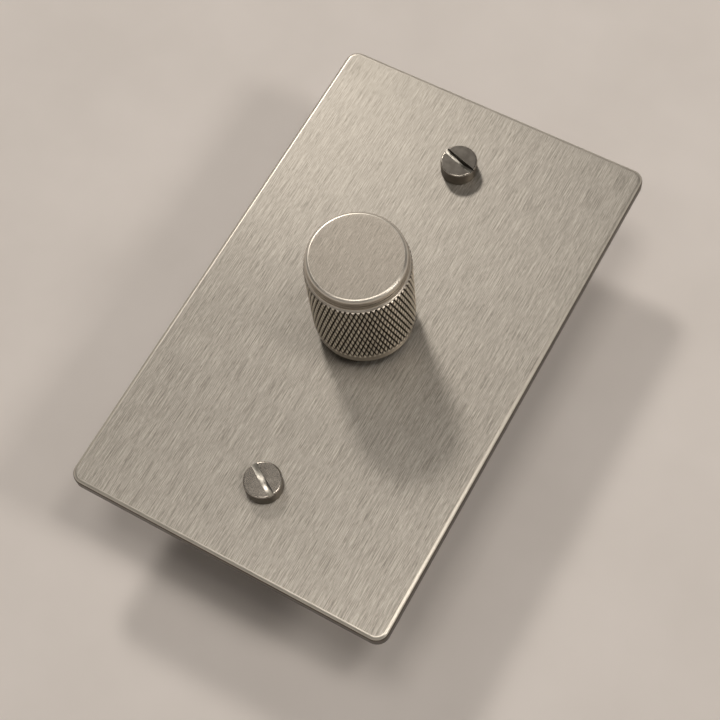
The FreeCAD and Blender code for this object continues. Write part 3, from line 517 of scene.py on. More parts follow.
# Painted shade: the heads' turned sides are set darker than their tops.
SIDE_SHADE_FINISH = TurnedMetal(
    "screw_side_painted_shade", (0.14, 0.122, 0.1), (0.25, 0.22, 0.185),
    roughness=(0.34, 0.42), scratch=0.002)
SPRING_FINISH = SatinMetal(
    "spring_steel", (0.5, 0.5, 0.5), (0.66, 0.66, 0.66),
    roughness=(0.22, 0.34), blotch=0.5)
FLOOR_FINISH = PaleFloor("pale_floor", (0.78, 0.71, 0.653), (0.83, 0.757, 0.70))

# In the order of PlatePaint, KnobPaint and ScrewPaint.
PLATE_FINISHES = (PLATE_FINISH, EDGE_SHADE_FINISH, BEVEL_HIGHLIGHT_FINISH)
KNOB_FINISHES = (CROWN_FINISH, KNURL_FINISH, TURNED_FINISH, LIP_HIGHLIGHT_FINISH)
SCREW_FINISHES = (SCREW_FINISH, SAWN_FINISH, SLOT_SHADE_FINISH, SIDE_SHADE_FINISH)

CAD_FINISHES: dict[str, Finish] = {
    "mounting_strap": SatinMetal("zinc_strap", (0.52, 0.53, 0.53), (0.68, 0.68, 0.66), (0.32, 0.5), 2.5),
    "earth_screw": SatinMetal("brass_screw", (0.56, 0.42, 0.19), (0.72, 0.56, 0.28), (0.28, 0.42), 1.5),
    "threaded_bush": SatinMetal("brass_bush", (0.54, 0.41, 0.19), (0.70, 0.55, 0.28), (0.25, 0.4), 1.5),
    "lock_washer": SatinMetal("zinc_washer", (0.48, 0.48, 0.47), (0.62, 0.61, 0.59), (0.32, 0.46), 1.2),
    "bush_nut": SatinMetal("zinc_nut", (0.46, 0.46, 0.44), (0.62, 0.61, 0.58), (0.3, 0.44), 1.2),
    "module_cover": Moulding("cover_moulding", (0.045, 0.045, 0.047), (0.066, 0.066, 0.068), (0.42, 0.55)),
    "module_case": Moulding("case_moulding", (0.035, 0.035, 0.037), (0.055, 0.055, 0.057), (0.42, 0.55)),
    "case_screws": SatinMetal("zinc_case_screw", (0.5, 0.5, 0.5), (0.66, 0.66, 0.64), (0.3, 0.44), 1.0),
    "circuit_board": Moulding("board_laminate", (0.03, 0.10, 0.045), (0.05, 0.15, 0.065), (0.3, 0.42), 0.35),
    "control_housing": Moulding("control_moulding", (0.10, 0.10, 0.11), (0.14, 0.14, 0.15), (0.4, 0.52)),
    "resistive_track": Moulding("carbon_track", (0.02, 0.02, 0.02), (0.04, 0.04, 0.04), (0.5, 0.62)),
    "wiper_carrier": Moulding("carrier_moulding", (0.62, 0.6, 0.54), (0.72, 0.7, 0.64), (0.4, 0.5)),
    "wiper_contact": SatinMetal("wiper_bronze", (0.55, 0.38, 0.2), (0.7, 0.5, 0.28), (0.25, 0.36), 0.8),
    "control_shaft": SatinMetal("shaft_steel", (0.5, 0.5, 0.5), (0.64, 0.63, 0.62), (0.22, 0.34), 1.2),
    "switch_housing": Moulding("switch_moulding", (0.06, 0.06, 0.065), (0.09, 0.09, 0.095), (0.42, 0.54)),
    "fixed_contacts": SatinMetal("contact_brass", (0.6, 0.46, 0.22), (0.76, 0.6, 0.32), (0.25, 0.38), 0.8),
    "switch_plunger": Moulding("plunger_moulding", (0.6, 0.58, 0.52), (0.7, 0.68, 0.62), (0.4, 0.5)),
    "contact_bridge": SatinMetal("bridge_brass", (0.6, 0.46, 0.22), (0.76, 0.6, 0.32), (0.25, 0.38), 0.8),
    "knob_insert": SatinMetal("insert_brass", (0.55, 0.42, 0.2), (0.7, 0.55, 0.28), (0.28, 0.4), 1.2),
    "heat_sink": SatinMetal("sink_aluminium", (0.58, 0.59, 0.6), (0.74, 0.74, 0.75), (0.35, 0.5), 2.0),
    "power_triac": Moulding("triac_epoxy", (0.018, 0.018, 0.02), (0.032, 0.032, 0.034), (0.38, 0.5)),
    "triac_screw": SatinMetal("zinc_triac_screw", (0.5, 0.5, 0.5), (0.66, 0.66, 0.64), (0.3, 0.44), 1.0),
    "choke_core": Moulding("ferrite_core", (0.05, 0.05, 0.052), (0.09, 0.09, 0.09), (0.5, 0.62), 0.12),
    "choke_winding": SatinMetal("enamelled_copper", (0.5, 0.2, 0.08), (0.68, 0.3, 0.13), (0.2, 0.32), 0.8),
    "film_capacitor": Moulding("film_case", (0.45, 0.30, 0.07), (0.56, 0.38, 0.1), (0.35, 0.48)),
    "fuse": Moulding("fuse_ceramic", (0.66, 0.64, 0.6), (0.78, 0.76, 0.72), (0.25, 0.36)),
    "fuse_clips": SatinMetal("clip_bronze", (0.55, 0.45, 0.28), (0.7, 0.58, 0.38), (0.28, 0.4), 0.8),
    "timing_resistors": Moulding("resistor_lacquer", (0.42, 0.34, 0.24), (0.54, 0.44, 0.32), (0.3, 0.42)),
    "terminal_block": Moulding("terminal_moulding", (0.55, 0.53, 0.48), (0.66, 0.64, 0.58), (0.4, 0.52)),
    "terminal_clamps": SatinMetal("clamp_brass", (0.58, 0.46, 0.24), (0.74, 0.6, 0.34), (0.28, 0.42), 1.0),
    "terminal_screws": SatinMetal(
        "zinc_terminal_screw", (0.5, 0.5, 0.5), (0.66, 0.66, 0.64), (0.3, 0.44), 1.0),
}


# ---- Mesh helpers


def arc(centre: Ring, radius: float, start: float, end: float, steps: int) -> list[Ring]:
    """Return the rings of a rounded edge.

    Args:
        centre: The arc's centre as radius and height.
        radius: Its radius.
        start: Where it starts, in degrees from the radius axis.
        end: Where it ends.
        steps: How many parts it has.

    Returns:
        The rings as radius and height, both ends included.
    """
    turns = [math.radians(start + (end - start) * step / steps) for step in range(steps + 1)]
    return [(centre[0] + radius * math.cos(turn), centre[1] + radius * math.sin(turn)) for turn in turns]


def carry(bm: BMesh, edges: Iterable[BMEdge], rings: Iterable[Ring], paint: int) -> list[BMEdge]:
    """Draw a closed loop of edges along a turned profile, one ring after another.

    Args:
        bm: The mesh.
        edges: The loop, round the Z axis.
        rings: The profile's rings as radius and height, in millimetres.
        paint: The material of the new faces.

    Returns:
        The loop at the end of the profile.
    """
    loop = list(edges)
    for radius, height in rings:
        made = bmesh.ops.extrude_edge_only(bm, edges=loop)["geom"]
        verts = {item for item in made if isinstance(item, BMVert)}
        for vert in verts:
            flat = vert.co.xy.normalized() * radius * MM
            vert.co = (flat.x, flat.y, height * MM)
        for face in (item for item in made if isinstance(item, BMFace)):
            face.material_index = paint
        loop = [item for item in made if isinstance(item, BMEdge) and verts.issuperset(item.verts)]
    return loop


def cap(bm: BMesh, edges: Iterable[BMEdge], paint: int) -> None:
    """Close a loop with one flat face."""
    for face in bmesh.ops.edgeloop_fill(bm, edges=list(edges))["faces"]:
        face.material_index = paint


def fill(bm: BMesh, edges: list[BMEdge], facing: float) -> None:
    """Fill the flat region between an outline and the loops inside it, facing up or down."""
    bmesh.ops.triangle_fill(bm, use_beauty=True, edges=edges, normal=(0.0, 0.0, facing))


def level_edges(bm: BMesh, height: float) -> list[BMEdge]:
    """Return the edges that lie at one height, in millimetres."""
    return [edge for edge in bm.edges
            if all(abs(vert.co.z - height * MM) < WELD for vert in edge.verts)]


def open_edges(bm: BMesh, height: float) -> list[BMEdge]:
    """Return the edges at one height that have a face on one side only."""
    return [edge for edge in level_edges(bm, height) if edge.is_boundary]


def circle(bm: BMesh, radius: float, segments: int, place: Matrix) -> tuple[list[BMVert], list[BMEdge]]:
    """Draw an open circle.

    Args:
        bm: The mesh.
        radius: The circle's radius, in millimetres.
        segments: How many sides it has.
        place: Where it lies.

    Returns:
        Its vertices and its edges.
    """
    verts = bmesh.ops.create_circle(
        bm, cap_ends=False, segments=segments, radius=radius * MM, matrix=place)["verts"]
    return verts, list(dict.fromkeys(edge for vert in verts for edge in vert.link_edges))


def rounded_outline(bm: BMesh, width: float, height: float, corner: float, steps: int) -> BMFace:
    """Draw a rectangle with rounded corners, at height 0.

    Args:
        bm: The mesh.
        width: Its size along X, in millimetres.
        height: Its size along Y.
        corner: The radius of its corners.
        steps: How many parts each corner has.

    Returns:
        The rectangle's face.
    """
    verts = bmesh.ops.create_grid(bm, x_segments=1, y_segments=1, size=0.5)["verts"]
    bmesh.ops.scale(bm, vec=(width * MM, height * MM, 1.0), verts=verts)
    made = bmesh.ops.bevel(bm, geom=verts, offset=corner * MM, offset_type="OFFSET", segments=steps,
                           profile=0.5, affect="VERTICES", material=-1)
    return max({face for vert in made["verts"] for face in vert.link_faces}, key=lambda face: len(face.verts))


def trim(bm: BMesh, low: float, high: float) -> None:
    """Cut off what lies under one height and over another.

    Args:
        bm: The mesh.
        low: The lower height, in millimetres.
        high: The upper height.
    """
    for height, under in ((low, True), (high, False)):
        geom = bm.verts[:] + bm.edges[:] + bm.faces[:]
        bmesh.ops.bisect_plane(bm, geom=geom, dist=CUT, plane_co=(0, 0, height * MM), plane_no=(0, 0, 1),
                               clear_inner=under, clear_outer=not under)


def finish_piece(name: str, bm: BMesh, finishes: Sequence[Finish], sharp: float) -> Object:
    """Turn a mesh into a piece of the object.

    Args:
        name: The piece's name.
        bm: Its mesh, which is freed.
        finishes: Its materials, in the order of the faces' material numbers.
        sharp: The angle in degrees past which an edge stays crisp.

    Returns:
        The piece, at the origin.
    """
    bmesh.ops.remove_doubles(bm, verts=bm.verts[:], dist=WELD)
    bmesh.ops.recalc_face_normals(bm, faces=bm.faces[:])
    loose = sum(1 for edge in bm.edges if not edge.is_manifold)
    mesh = bpy.data.meshes.new(name)
    bm.to_mesh(mesh)
    bm.free()
    for finish in finishes:
        mesh.materials.append(finish.material())
    mesh.shade_smooth()
    mesh.set_sharp_from_angle(angle=math.radians(sharp))
    piece = bpy.data.objects.new(name, mesh)
    bpy.context.scene.collection.objects.link(piece)
    LOG.info("%s: %d faces, %d open edges", name, len(mesh.polygons), loose)
    return piece


def even_shading(piece: Object) -> None:
    """Let large flat faces keep their own normals beside rounded edges.

    Args:
        piece: The piece.
    """
    modifier = piece.modifiers.new("flat_faces", "WEIGHTED_NORMAL")
    modifier.mode = "FACE_AREA"
    modifier.weight = 100
    modifier.keep_sharp = True


# ---- Sub-assemblies


@dataclass
class FacePlate:
    """The brushed plate: rounded corners, a soft front edge, a rear seat for the strap and three holes."""

    width: float = 73.5
    height: float = 118.0
    thick: float = 3.0
    corner: float = 2.8
    corner_steps: int = 14
    edge: float = 0.9
    edge_steps: int = 10
    edge_shade_tilt: float = 0.55
    rear_edge: float = 0.15
    rear_steps: int = 2
    seat_width: float = 46.0
    seat_height: float = 106.8
    seat_deep: float = 1.5
    seat_corner: float = 0.6
    seat_steps: int = 4
    bush_hole: float = 5.2
    bush_steps: int = 72
    screw_hole: float = 2.1
    screw_steps: int = 48
    screw_up: float = 41.65
    sharp: float = 35.0

    def build(self) -> Object:
        """Model the plate and set it on the housing.

        Returns:
            The plate.
        """
        bm = bmesh.new()
        self._blank(bm)
        front, rear = open_edges(bm, self.thick), open_edges(bm, 0.0)
        holes_front = self._holes(bm, self.thick)
        fill(bm, front + holes_front, 1.0)
        seat = self._seat_loop(bm)
        fill(bm, rear + seat, -1.0)
        made = bmesh.ops.extrude_edge_only(bm, edges=seat)["geom"]
        lifted = {item for item in made if isinstance(item, BMVert)}
        bmesh.ops.translate(bm, vec=(0.0, 0.0, self.seat_deep * MM), verts=list(lifted))
        floor = [item for item in made if isinstance(item, BMEdge) and lifted.issuperset(item.verts)]
        holes_rear = self._holes(bm, self.seat_deep)
        fill(bm, floor + holes_rear, -1.0)
        for across in (0.0, self.screw_up, -self.screw_up):
            near = [edge for edge in holes_front + holes_rear
                    if abs(edge.verts[0].co.y - across * MM) < 2.0 * self.bush_hole * MM]
            bmesh.ops.bridge_loops(bm, edges=near)
        piece = finish_piece("face_plate_dressed", bm, PLATE_FINISHES, self.sharp)
        even_shading(piece)
        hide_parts("face_plate")
        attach(piece, Body.HOUSING.value)
        return piece

    def _blank(self, bm: BMesh) -> None:
        """Model the plate's outer wall and its rounded edges, open at the front and the rear.

        Args:
            bm: The plate's mesh.
        """
        outline = rounded_outline(bm, self.width, self.height, self.corner, self.corner_steps)
        made = bmesh.ops.extrude_face_region(bm, geom=[outline], use_keep_orig=True)["geom"]
        lifted = [item for item in made if isinstance(item, BMVert)]
        bmesh.ops.translate(bm, vec=(0.0, 0.0, self.thick * MM), verts=lifted)
        bmesh.ops.recalc_face_normals(bm, faces=bm.faces[:])
        rounds = ((self.thick, self.edge, self.edge_steps), (0.0, self.rear_edge, self.rear_steps))
        for height, offset, steps in rounds:
            bmesh.ops.bevel(bm, geom=level_edges(bm, height), offset=offset * MM, offset_type="OFFSET",
                            segments=steps, profile=0.5, affect="EDGES", material=-1, clamp_overlap=True)
        flat = [face for face in bm.faces if len(face.verts) > self.corner_steps]
        bmesh.ops.delete(bm, geom=flat, context="FACES_ONLY")
        bm.normal_update()
        # Steep faces take the side wall's painted shade; the rest of the rounded edge takes the bevel colour,
        # which is partly a painted highlight.
        for face in bm.faces:
            steep = face.normal.z < self.edge_shade_tilt
            face.material_index = PlatePaint.EDGE if steep else PlatePaint.BEVEL

    def _holes(self, bm: BMesh, height: float) -> list[BMEdge]:
        """Draw the mouths of the three holes.

        Args:
            bm: The plate's mesh.
            height: The height that they lie at.

        Returns:
            Their edges.
        """
        edges = []
        for radius, steps, across in (
                (self.bush_hole, self.bush_steps, 0.0),
                (self.screw_hole, self.screw_steps, self.screw_up),
                (self.screw_hole, self.screw_steps, -self.screw_up)):
            place = Matrix.Translation((0.0, across * MM, height * MM))
            edges += circle(bm, radius, steps, place)[1]
        return edges

    def _seat_loop(self, bm: BMesh) -> list[BMEdge]:
        """Draw the mouth of the strap's seat.

        Args:
            bm: The plate's mesh.

        Returns:
            Its edges.
        """
        face = rounded_outline(bm, self.seat_width, self.seat_height, self.seat_corner, self.seat_steps)
        edges = list(face.edges)
        bmesh.ops.delete(bm, geom=[face], context="FACES_ONLY")
        return edges


@dataclass
class ControlKnob:
    """The knob: a diamond knurl between a plain rim and a stepped, brushed crown, bored for its insert."""

    count: int = 66
    rows: int = 12
    root: float = 10.35
    tip: float = 10.8
    band_low: float = 7.9
    band_high: float = 28.0
    run_in: float = 0.06
    land_edge: float = 0.045
    land_steps: int = 2
    groove_share: float = 0.5
    rim: float = 10.55
    foot: float = 5.5
    foot_chamfer: float = 0.3
    cavity: float = 8.9
    cavity_top: float = 13.0
    cavity_break: float = 0.15
    cavity_round: float = 0.3
    bore: float = 5.53
    bore_break: float = 0.1
    bore_top: float = 26.5
    ledge: float = 10.6
    ledge_rise: float = 0.18
    ledge_round: float = 0.15
    cove_round: float = 0.5
    cove_rise: float = 0.6
    neck: float = 10.2
    neck_low: float = 29.5
    neck_break: float = 0.04
    groove: float = 9.9
    groove_top: float = 29.9
    groove_break: float = 0.06
    top: float = 31.5
    lip_foot: float = 0.08
    lip_round: float = 0.8
    crown_share: float = 0.86
    sharp: float = 32.0

    def build(self) -> Object:
        """Model the knob and set it on the spindle.

        Returns:
            The knob.
        """
        bm = bmesh.new()
        self._knurl(bm)
        self._crown(bm, open_edges(bm, self.band_high))
        self._foot(bm, open_edges(bm, self.band_low))
        piece = finish_piece("knob_dressed", bm, KNOB_FINISHES, self.sharp)
        even_shading(piece)
        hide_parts("knob")
        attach(piece, Body.SPINDLE.value)
        return piece

    def _point(self, bm: BMesh) -> None:
        """Model one raised diamond of the knurl, at the foot of the band.

        Args:
            bm: The knob's mesh, which is empty.
        """
        half_turn = math.pi / self.count
        half_high = (self.band_high - self.band_low) / self.rows * MM
        root = self.root * MM
        low = self.band_low * MM
        side = Vector((root * math.cos(half_turn), root * math.sin(half_turn), low))
        corners = [
            Vector((root, 0.0, low - half_high)),
            Vector((side.x, side.y, low)),
            Vector((root, 0.0, low + half_high)),
            Vector((side.x, -side.y, low)),
        ]
        face = bm.faces.new([bm.verts.new(corner) for corner in corners])
        face.normal_update()
        inner = side.y * half_high / math.hypot(side.y, half_high)
        bmesh.ops.inset_individual(bm, faces=[face], thickness=inner * self.groove_share, depth=0.0,
                                   use_even_offset=True)
        lift = (self.tip - self.root) * MM
        bmesh.ops.translate(bm, vec=(lift, 0.0, 0.0), verts=list(face.verts))
        bmesh.ops.bevel(bm, geom=list(face.edges), offset=self.land_edge * MM, offset_type="OFFSET",
                        segments=self.land_steps, profile=0.5, affect="EDGES", material=-1,
                        clamp_overlap=True)

    def _knurl(self, bm: BMesh) -> None:
        """Repeat the diamond round the knob and up the band, and trim the band's ends.

        Args:
            bm: The knob's mesh, which is empty.
        """
        self._point(bm)
        step = FULL_TURN / self.count
        bmesh.ops.spin(bm, geom=bm.verts[:] + bm.edges[:] + bm.faces[:], cent=(0, 0, 0), axis=(0, 0, 1),
                       angle=step * (self.count - 1), steps=self.count - 1, use_duplicate=True)
        first = bm.verts[:] + bm.edges[:] + bm.faces[:]
        rise = (self.band_high - self.band_low) / self.rows * MM
        for row in range(1, self.rows + 1):
            made = bmesh.ops.duplicate(bm, geom=first)["geom"]
            verts = [item for item in made if isinstance(item, BMVert)]
            turn = Matrix.Rotation(step / 2.0 * (row % 2), 3, "Z")
            bmesh.ops.rotate(bm, cent=(0, 0, 0), matrix=turn, verts=verts)
            bmesh.ops.translate(bm, vec=(0.0, 0.0, row * rise), verts=verts)
        bmesh.ops.remove_doubles(bm, verts=bm.verts[:], dist=WELD)
        trim(bm, self.band_low, self.band_high)
        for face in bm.faces:
            face.material_index = KnobPaint.KNURL

    def _crown(self, bm: BMesh, edges: list[BMEdge]) -> None:
        """Turn the ledge, the cove, the groove and the lip, and close the top.

        Args:
            bm: The knob's mesh.
            edges: The upper end of the knurl.
        """
        shoulder = self.band_high + self.ledge_rise
        side = [(self.ledge, self.band_high + self.run_in)]
        ledge = (self.ledge - self.ledge_round, shoulder)
        side += arc(ledge, self.ledge_round, start=0, end=65, steps=4)
        cove = (self.neck + self.cove_round, shoulder + self.cove_rise)
        side += arc(cove, self.cove_round, start=245, end=180, steps=6)
        side += [(self.neck, self.neck_low - self.neck_break), (self.neck - self.neck_break, self.neck_low)]
        inset = self.groove + self.groove_break
        side += [(inset, self.neck_low), (self.groove, self.neck_low + self.groove_break)]
        side += [(self.groove, self.groove_top - self.groove_break), (inset, self.groove_top)]
        foot = (self.neck - self.lip_foot, self.groove_top + self.lip_foot)
        side += arc(foot, self.lip_foot, start=-90, end=0, steps=3)
        loop = carry(bm, edges, side, KnobPaint.TURNED)
        # The lip's lighter colour is partly a painted highlight.
        lip = (self.neck - self.lip_round, self.top - self.lip_round)
        loop = carry(bm, loop, arc(lip, self.lip_round, start=0, end=90, steps=10), KnobPaint.LIP)
        loop = carry(bm, loop, [(self.neck * self.crown_share, self.top)], KnobPaint.CROWN)
        cap(bm, loop, KnobPaint.CROWN)

    def _foot(self, bm: BMesh, edges: list[BMEdge]) -> None:
        """Turn the rim, the open foot and the bore.

        Args:
            bm: The knob's mesh.
            edges: The lower end of the knurl.
        """
        side = [(self.rim, self.band_low - self.run_in), (self.rim, self.foot + self.foot_chamfer)]
        side += [(self.rim - self.foot_chamfer, self.foot), (self.cavity + self.cavity_break, self.foot)]
        roof = self.cavity_top - self.cavity_round
        side += [(self.cavity, self.foot + self.cavity_break), (self.cavity, roof)]
        side += arc((self.cavity - self.cavity_round, roof), self.cavity_round, start=0, end=90, steps=3)
        side += [(self.bore + self.bore_break, self.cavity_top)]
        side += [(self.bore, self.cavity_top + self.bore_break), (self.bore, self.bore_top)]
        cap(bm, carry(bm, edges, side, KnobPaint.TURNED), KnobPaint.TURNED)


@dataclass
class FixingScrews:
    """The two cheese-head screws of the plate, with sawn slots and threaded shanks.

    A point of the tooth is a share of the thread's depth and a share of its pitch.
    """

    seat: float = 3.0
    head: float = 4.0
    head_high: float = 3.5
    head_edge: float = 0.35
    head_break: float = 0.1
    neck: float = 1.35
    neck_low: float = -0.2
    neck_break: float = 0.08
    shank: float = 1.75
    thread_deep: float = 0.3
    tooth: tuple[Ring, ...] = ((0.0, 0.0), (0.0, 0.12), (1.0, 0.44), (1.0, 0.56), (0.0, 0.88), (0.0, 1.0))
    pitch: float = 0.8
    lead_in: float = 1.5
    spare_turns: int = 3
    tail: float = 16.0
    slot_width: float = 1.25
    slot_deep: float = 1.8
    slot_edge: float = 0.035
    slot_edge_steps: int = 2
    slot_edge_angle: float = 50.0
    saw: float = 6.0
    saw_steps: int = 256
    up: float = 41.65
    upper_turn: float = -16.5
    lower_turn: float = -32.0
    segments: int = 72
    sharp: float = 30.0

    def build(self) -> Object:
        """Model both screws as one piece and set it on the housing.

        Returns:
            The screws.
        """
        one = self._slotted(self._blank())
        bm = bmesh.new()
        for turn, across in ((self.upper_turn, self.up), (self.lower_turn, -self.up)):
            before = set(bm.verts)
            bm.from_mesh(one)
            verts = [vert for vert in bm.verts if vert not in before]
            matrix = Matrix.Rotation(math.radians(turn), 3, "Z")
            bmesh.ops.rotate(bm, cent=(0, 0, 0), matrix=matrix, verts=verts)
            bmesh.ops.translate(bm, vec=(0.0, across * MM, 0.0), verts=verts)
        bpy.data.meshes.remove(one)
        piece = finish_piece("plate_screws_dressed", bm, SCREW_FINISHES, self.sharp)
        even_shading(piece)
        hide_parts("plate_screws")
        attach(piece, Body.HOUSING.value)
        return piece

    def _thread(self, bm: BMesh) -> None:
        """Wind one tooth down the shank, and trim both ends flat.

        Args:
            bm: The screw's mesh, which is empty.
        """
        turns = int(self.tail / self.pitch) + self.spare_turns
        root = self.shank - self.thread_deep
        low = -self.tail - self.lead_in * self.pitch
        verts = [bm.verts.new(((root + out * self.thread_deep) * MM, 0.0, (low + along * self.pitch) * MM))
                 for out, along in self.tooth]
        edges = [bm.edges.new(pair) for pair in zip(verts, verts[1:])]
        bmesh.ops.spin(bm, geom=verts + edges, cent=(0, 0, 0), axis=(0, 0, 1),
                       dvec=(0.0, 0.0, self.pitch * MM / self.segments),
                       angle=FULL_TURN * turns, steps=self.segments * turns)
        bmesh.ops.remove_doubles(bm, verts=bm.verts[:], dist=WELD)
        trim(bm, -self.tail, self.neck_low)

    def _blank(self) -> Mesh:
        """Model the turned and threaded screw, before its slot is cut.

        Returns:
            The screw's mesh.
        """
        bm = bmesh.new()
        self._thread(bm)
        cap(bm, open_edges(bm, -self.tail), ScrewPaint.HEAD)
        shoulder = self.seat + self.head_high - self.head_edge
        side = [(self.neck, self.neck_low + self.neck_break), (self.neck, self.seat)]
        side += [(self.head - self.head_break, self.seat), (self.head, self.seat + self.head_break)]
        side += [(self.head, shoulder)]
        edge = arc((self.head - self.head_edge, shoulder), self.head_edge, start=0, end=90, steps=6)
        # The sides of the heads take the darker colour of painted shade.
        loop = carry(bm, open_edges(bm, self.neck_low), side, ScrewPaint.SIDE)
        loop = carry(bm, loop, edge[1:], ScrewPaint.HEAD)
        cap(bm, loop, ScrewPaint.HEAD)
        bmesh.ops.remove_doubles(bm, verts=bm.verts[:], dist=WELD)
        bmesh.ops.recalc_face_normals(bm, faces=bm.faces[:])
        mesh = bpy.data.meshes.new("screw_blank")
        bm.to_mesh(mesh)
        bm.free()
        return mesh

    def _saw(self) -> Mesh:
        """Model the round saw that cuts the slot along X.

        Returns:
            The saw's mesh.
        """
        bm = bmesh.new()
        centre = (self.seat + self.head_high - self.slot_deep + self.saw) * MM
        place = Matrix.Translation((0.0, 0.0, centre)) @ Matrix.Rotation(math.pi / 2.0, 4, "X")
        bmesh.ops.create_cone(bm, cap_ends=True, segments=self.saw_steps, radius1=self.saw * MM,
                              radius2=self.saw * MM, depth=self.slot_width * MM, matrix=place)
        # The saw's rim cuts the slot floor; its flat sides cut the walls, which take the slot's painted
        # shade.
        for face in bm.faces:
            face.material_index = ScrewPaint.SAWN if len(face.verts) == 4 else ScrewPaint.WALL
        mesh = bpy.data.meshes.new("saw")
        bm.to_mesh(mesh)
        bm.free()
        return mesh

    def _slotted(self, blank: Mesh) -> Mesh:
        """Cut the slot and break its edges.

        Args:
            blank: The screw without a slot, which is removed.

        Returns:
            The slotted screw.
        """
        meshes = (self._saw(), blank)
        for mesh in meshes:
            for finish in SCREW_FINISHES:
                mesh.materials.append(finish.material())
        saw, body = (bpy.data.objects.new(mesh.name, mesh) for mesh in meshes)
        for item in (saw, body):
            bpy.context.scene.collection.objects.link(item)
        cutter = body.modifiers.new("slot", "BOOLEAN")
        cutter.operation = "DIFFERENCE"
        cutter.solver = "EXACT"
        cutter.object = saw
        edge = body.modifiers.new("slot_edge", "BEVEL")
        edge.width = self.slot_edge * MM
        edge.segments = self.slot_edge_steps
        edge.limit_method = "ANGLE"
        edge.angle_limit = math.radians(self.slot_edge_angle)
        graph = bpy.context.evaluated_depsgraph_get()
        result = bpy.data.meshes.new_from_object(body.evaluated_get(graph))
        for item in (saw, body):
            bpy.data.objects.remove(item)
        for mesh in meshes:
            bpy.data.meshes.remove(mesh)
        return result


@dataclass
class ReturnSpring:
    """The switch's coil spring, which the plunger squeezes when the knob is pushed."""

    coil: float = 3.5
    wire: float = 0.25
    turns: float = 2.5
    travel: float = 1.5
    sides: int = 14
    segments: int = 48
    sharp: float = 60.0

    def build(self) -> Object:
        """Wind the wire between the seat and the plunger.

        Returns:
            The spring.
        """
        seat, roof = (corner[2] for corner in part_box("return_spring"))
        steps = int(self.turns * self.segments)
        rise = roof - seat - 2.0 * self.wire * MM
        bm = bmesh.new()
        start = Matrix.Translation((self.coil * MM, 0.0, seat + self.wire * MM))
        verts, edges = circle(bm, self.wire, self.sides, start @ Matrix.Rotation(math.pi / 2.0, 4, "X"))
        made = bmesh.ops.spin(bm, geom=verts + edges, cent=(0, 0, 0), axis=(0, 0, 1),
                              dvec=(0.0, 0.0, rise / steps), angle=FULL_TURN * self.turns, steps=steps)
        cap(bm, edges, 0)
        cap(bm, [item for item in made["geom_last"] if isinstance(item, BMEdge)], 0)
        piece = finish_piece("return_spring_dressed", bm, [SPRING_FINISH], self.sharp)
        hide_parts("return_spring")
        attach(piece, Body.HOUSING.value)
        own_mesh(piece)
        return piece


@dataclass
class ControlModule:
    """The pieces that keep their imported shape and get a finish."""

    nodes: dict[str, Object]

    def dress(self) -> None:
        """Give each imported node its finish."""
        for name, finish in CAD_FINISHES.items():
            mesh = self.nodes[name].data
            mesh.materials.clear()
            mesh.materials.append(finish.material())
            LOG.info("%s: %s", name, finish.name)


# ---- Studio


@dataclass(frozen=True)
class Lamp:
    """A soft lamp that faces the plate.

    Its direction is seen from the plate's middle, its distance and size are in metres, its power in watts.
    """

    name: str
    direction: Place
    distance: float
    size: Ring
    power: float

    def hang(self) -> None:
        """Hang the lamp in the scene."""
        data = bpy.data.lights.new(self.name, "AREA")
        data.shape = "RECTANGLE"
        data.size, data.size_y = self.size
        data.energy = self.power
        data.color = WARM_WHITE
        lamp = bpy.data.objects.new(self.name, data)
        aim = Vector(self.direction).normalized()
        turn = aim.to_track_quat("Z", "Y").to_matrix().to_4x4()
        lamp.matrix_world = Matrix.Translation(aim * self.distance) @ turn
        bpy.context.scene.collection.objects.link(lamp)


LAMPS = (
    Lamp("key_light", (-0.524, 0.48, 0.703), distance=1.3, size=(0.18, 0.18), power=4.8),
    Lamp("top_light", (-0.06, 0.01, 0.998), distance=1.3, size=(0.4, 0.4), power=3.0),
    Lamp("high_light", (0.31, 0.13, 0.94), distance=1.3, size=(0.24, 0.24), power=2.3),
    Lamp("side_light", (0.72, 0.12, 0.68), distance=1.3, size=(0.24, 0.24), power=3.0),
    Lamp("front_light", (-0.05, -0.45, 0.89), distance=1.2, size=(1.2, 0.18), power=1.1),
)


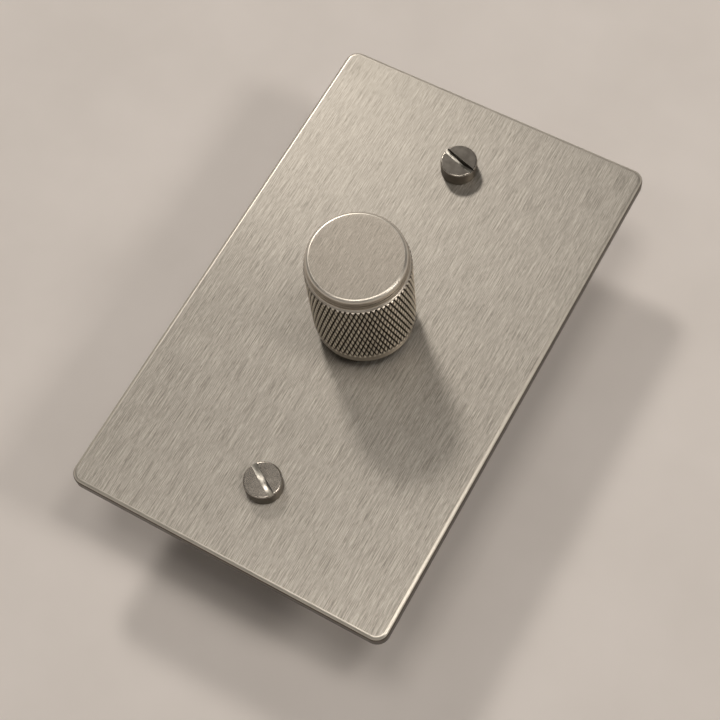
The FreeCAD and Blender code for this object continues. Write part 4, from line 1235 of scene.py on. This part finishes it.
@dataclass
class Studio:
    """The floor, the lights and the camera at the photograph's viewing angle."""

    floor_level: float = -24.0
    floor_half: float = 1.0
    floor_parts: int = 4
    camera_place: Place = (0.0883, -0.1178, 0.3005)
    forward: Place = (-0.25885, 0.33319, -0.90663)
    up: Place = (-0.42248, 0.80503, 0.41647)
    lens: float = 78.995
    sensor: float = 36.0
    clip: Ring = (0.01, 20.0)
    room_level: float = 0.03
    wall_level: float = 0.65
    wall_rise: Ring = (0.28, 0.72)

    def build(self) -> None:
        """Set up the whole studio."""
        self._floor()
        self._camera()
        self._world()
        for lamp in LAMPS:
            lamp.hang()
        bpy.context.scene.view_settings.view_transform = "Standard"

    def _floor(self) -> None:
        """Lay the floor under the module."""
        bm = bmesh.new()
        place = Matrix.Translation((0.0, 0.0, self.floor_level * MM))
        bmesh.ops.create_grid(bm, x_segments=self.floor_parts, y_segments=self.floor_parts,
                              size=self.floor_half, matrix=place)
        mesh = bpy.data.meshes.new("floor")
        bm.to_mesh(mesh)
        bm.free()
        mesh.materials.append(FLOOR_FINISH.material())
        floor = bpy.data.objects.new("floor", mesh)
        bpy.context.scene.collection.objects.link(floor)

    def _camera(self) -> None:
        """Set the camera where the photograph was taken from."""
        ahead = Vector(self.forward).normalized()
        right = ahead.cross(Vector(self.up)).normalized()
        data = bpy.data.cameras.new("camera")
        data.sensor_width = self.sensor
        data.lens = self.lens
        data.clip_start, data.clip_end = self.clip
        camera = bpy.data.objects.new("camera", data)
        turn = Matrix((right, right.cross(ahead), -ahead)).transposed().to_4x4()
        camera.matrix_world = Matrix.Translation(self.camera_place) @ turn
        bpy.context.scene.collection.objects.link(camera)
        bpy.context.scene.camera = camera

    def _world(self) -> None:
        """Light the room faintly and evenly, with pale walls that only the camera and shiny metal see."""
        world = bpy.data.worlds.new("studio")
        bpy.context.scene.world = world
        graph = Graph(world)
        rise = graph.height(graph.add("TexCoord", {}).outputs["Generated"])
        walls = graph.between(rise, self.wall_rise, (self.wall_level, 0.0))
        path = graph.add("LightPath", {})
        seen = graph.reckon("MAXIMUM", path.outputs["Is Camera Ray"], path.outputs["Is Glossy Ray"])
        level = graph.reckon("ADD", graph.reckon("MULTIPLY", walls, seen), self.room_level)
        light = graph.add("Background", {"Color": (*WARM_WHITE, 1.0), "Strength": level})
        graph.add("OutputWorld", {"Surface": light.outputs[0]})


def main() -> None:
    """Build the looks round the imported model."""
    logging.basicConfig(level=logging.INFO, format="%(name)s: %(message)s")
    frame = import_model()
    pieces = [FacePlate().build(), ControlKnob().build(), FixingScrews().build(), ReturnSpring().build()]
    ControlModule(frame["nodes"]).dress()
    Studio().build()


if __name__ == "__main__":
    main()
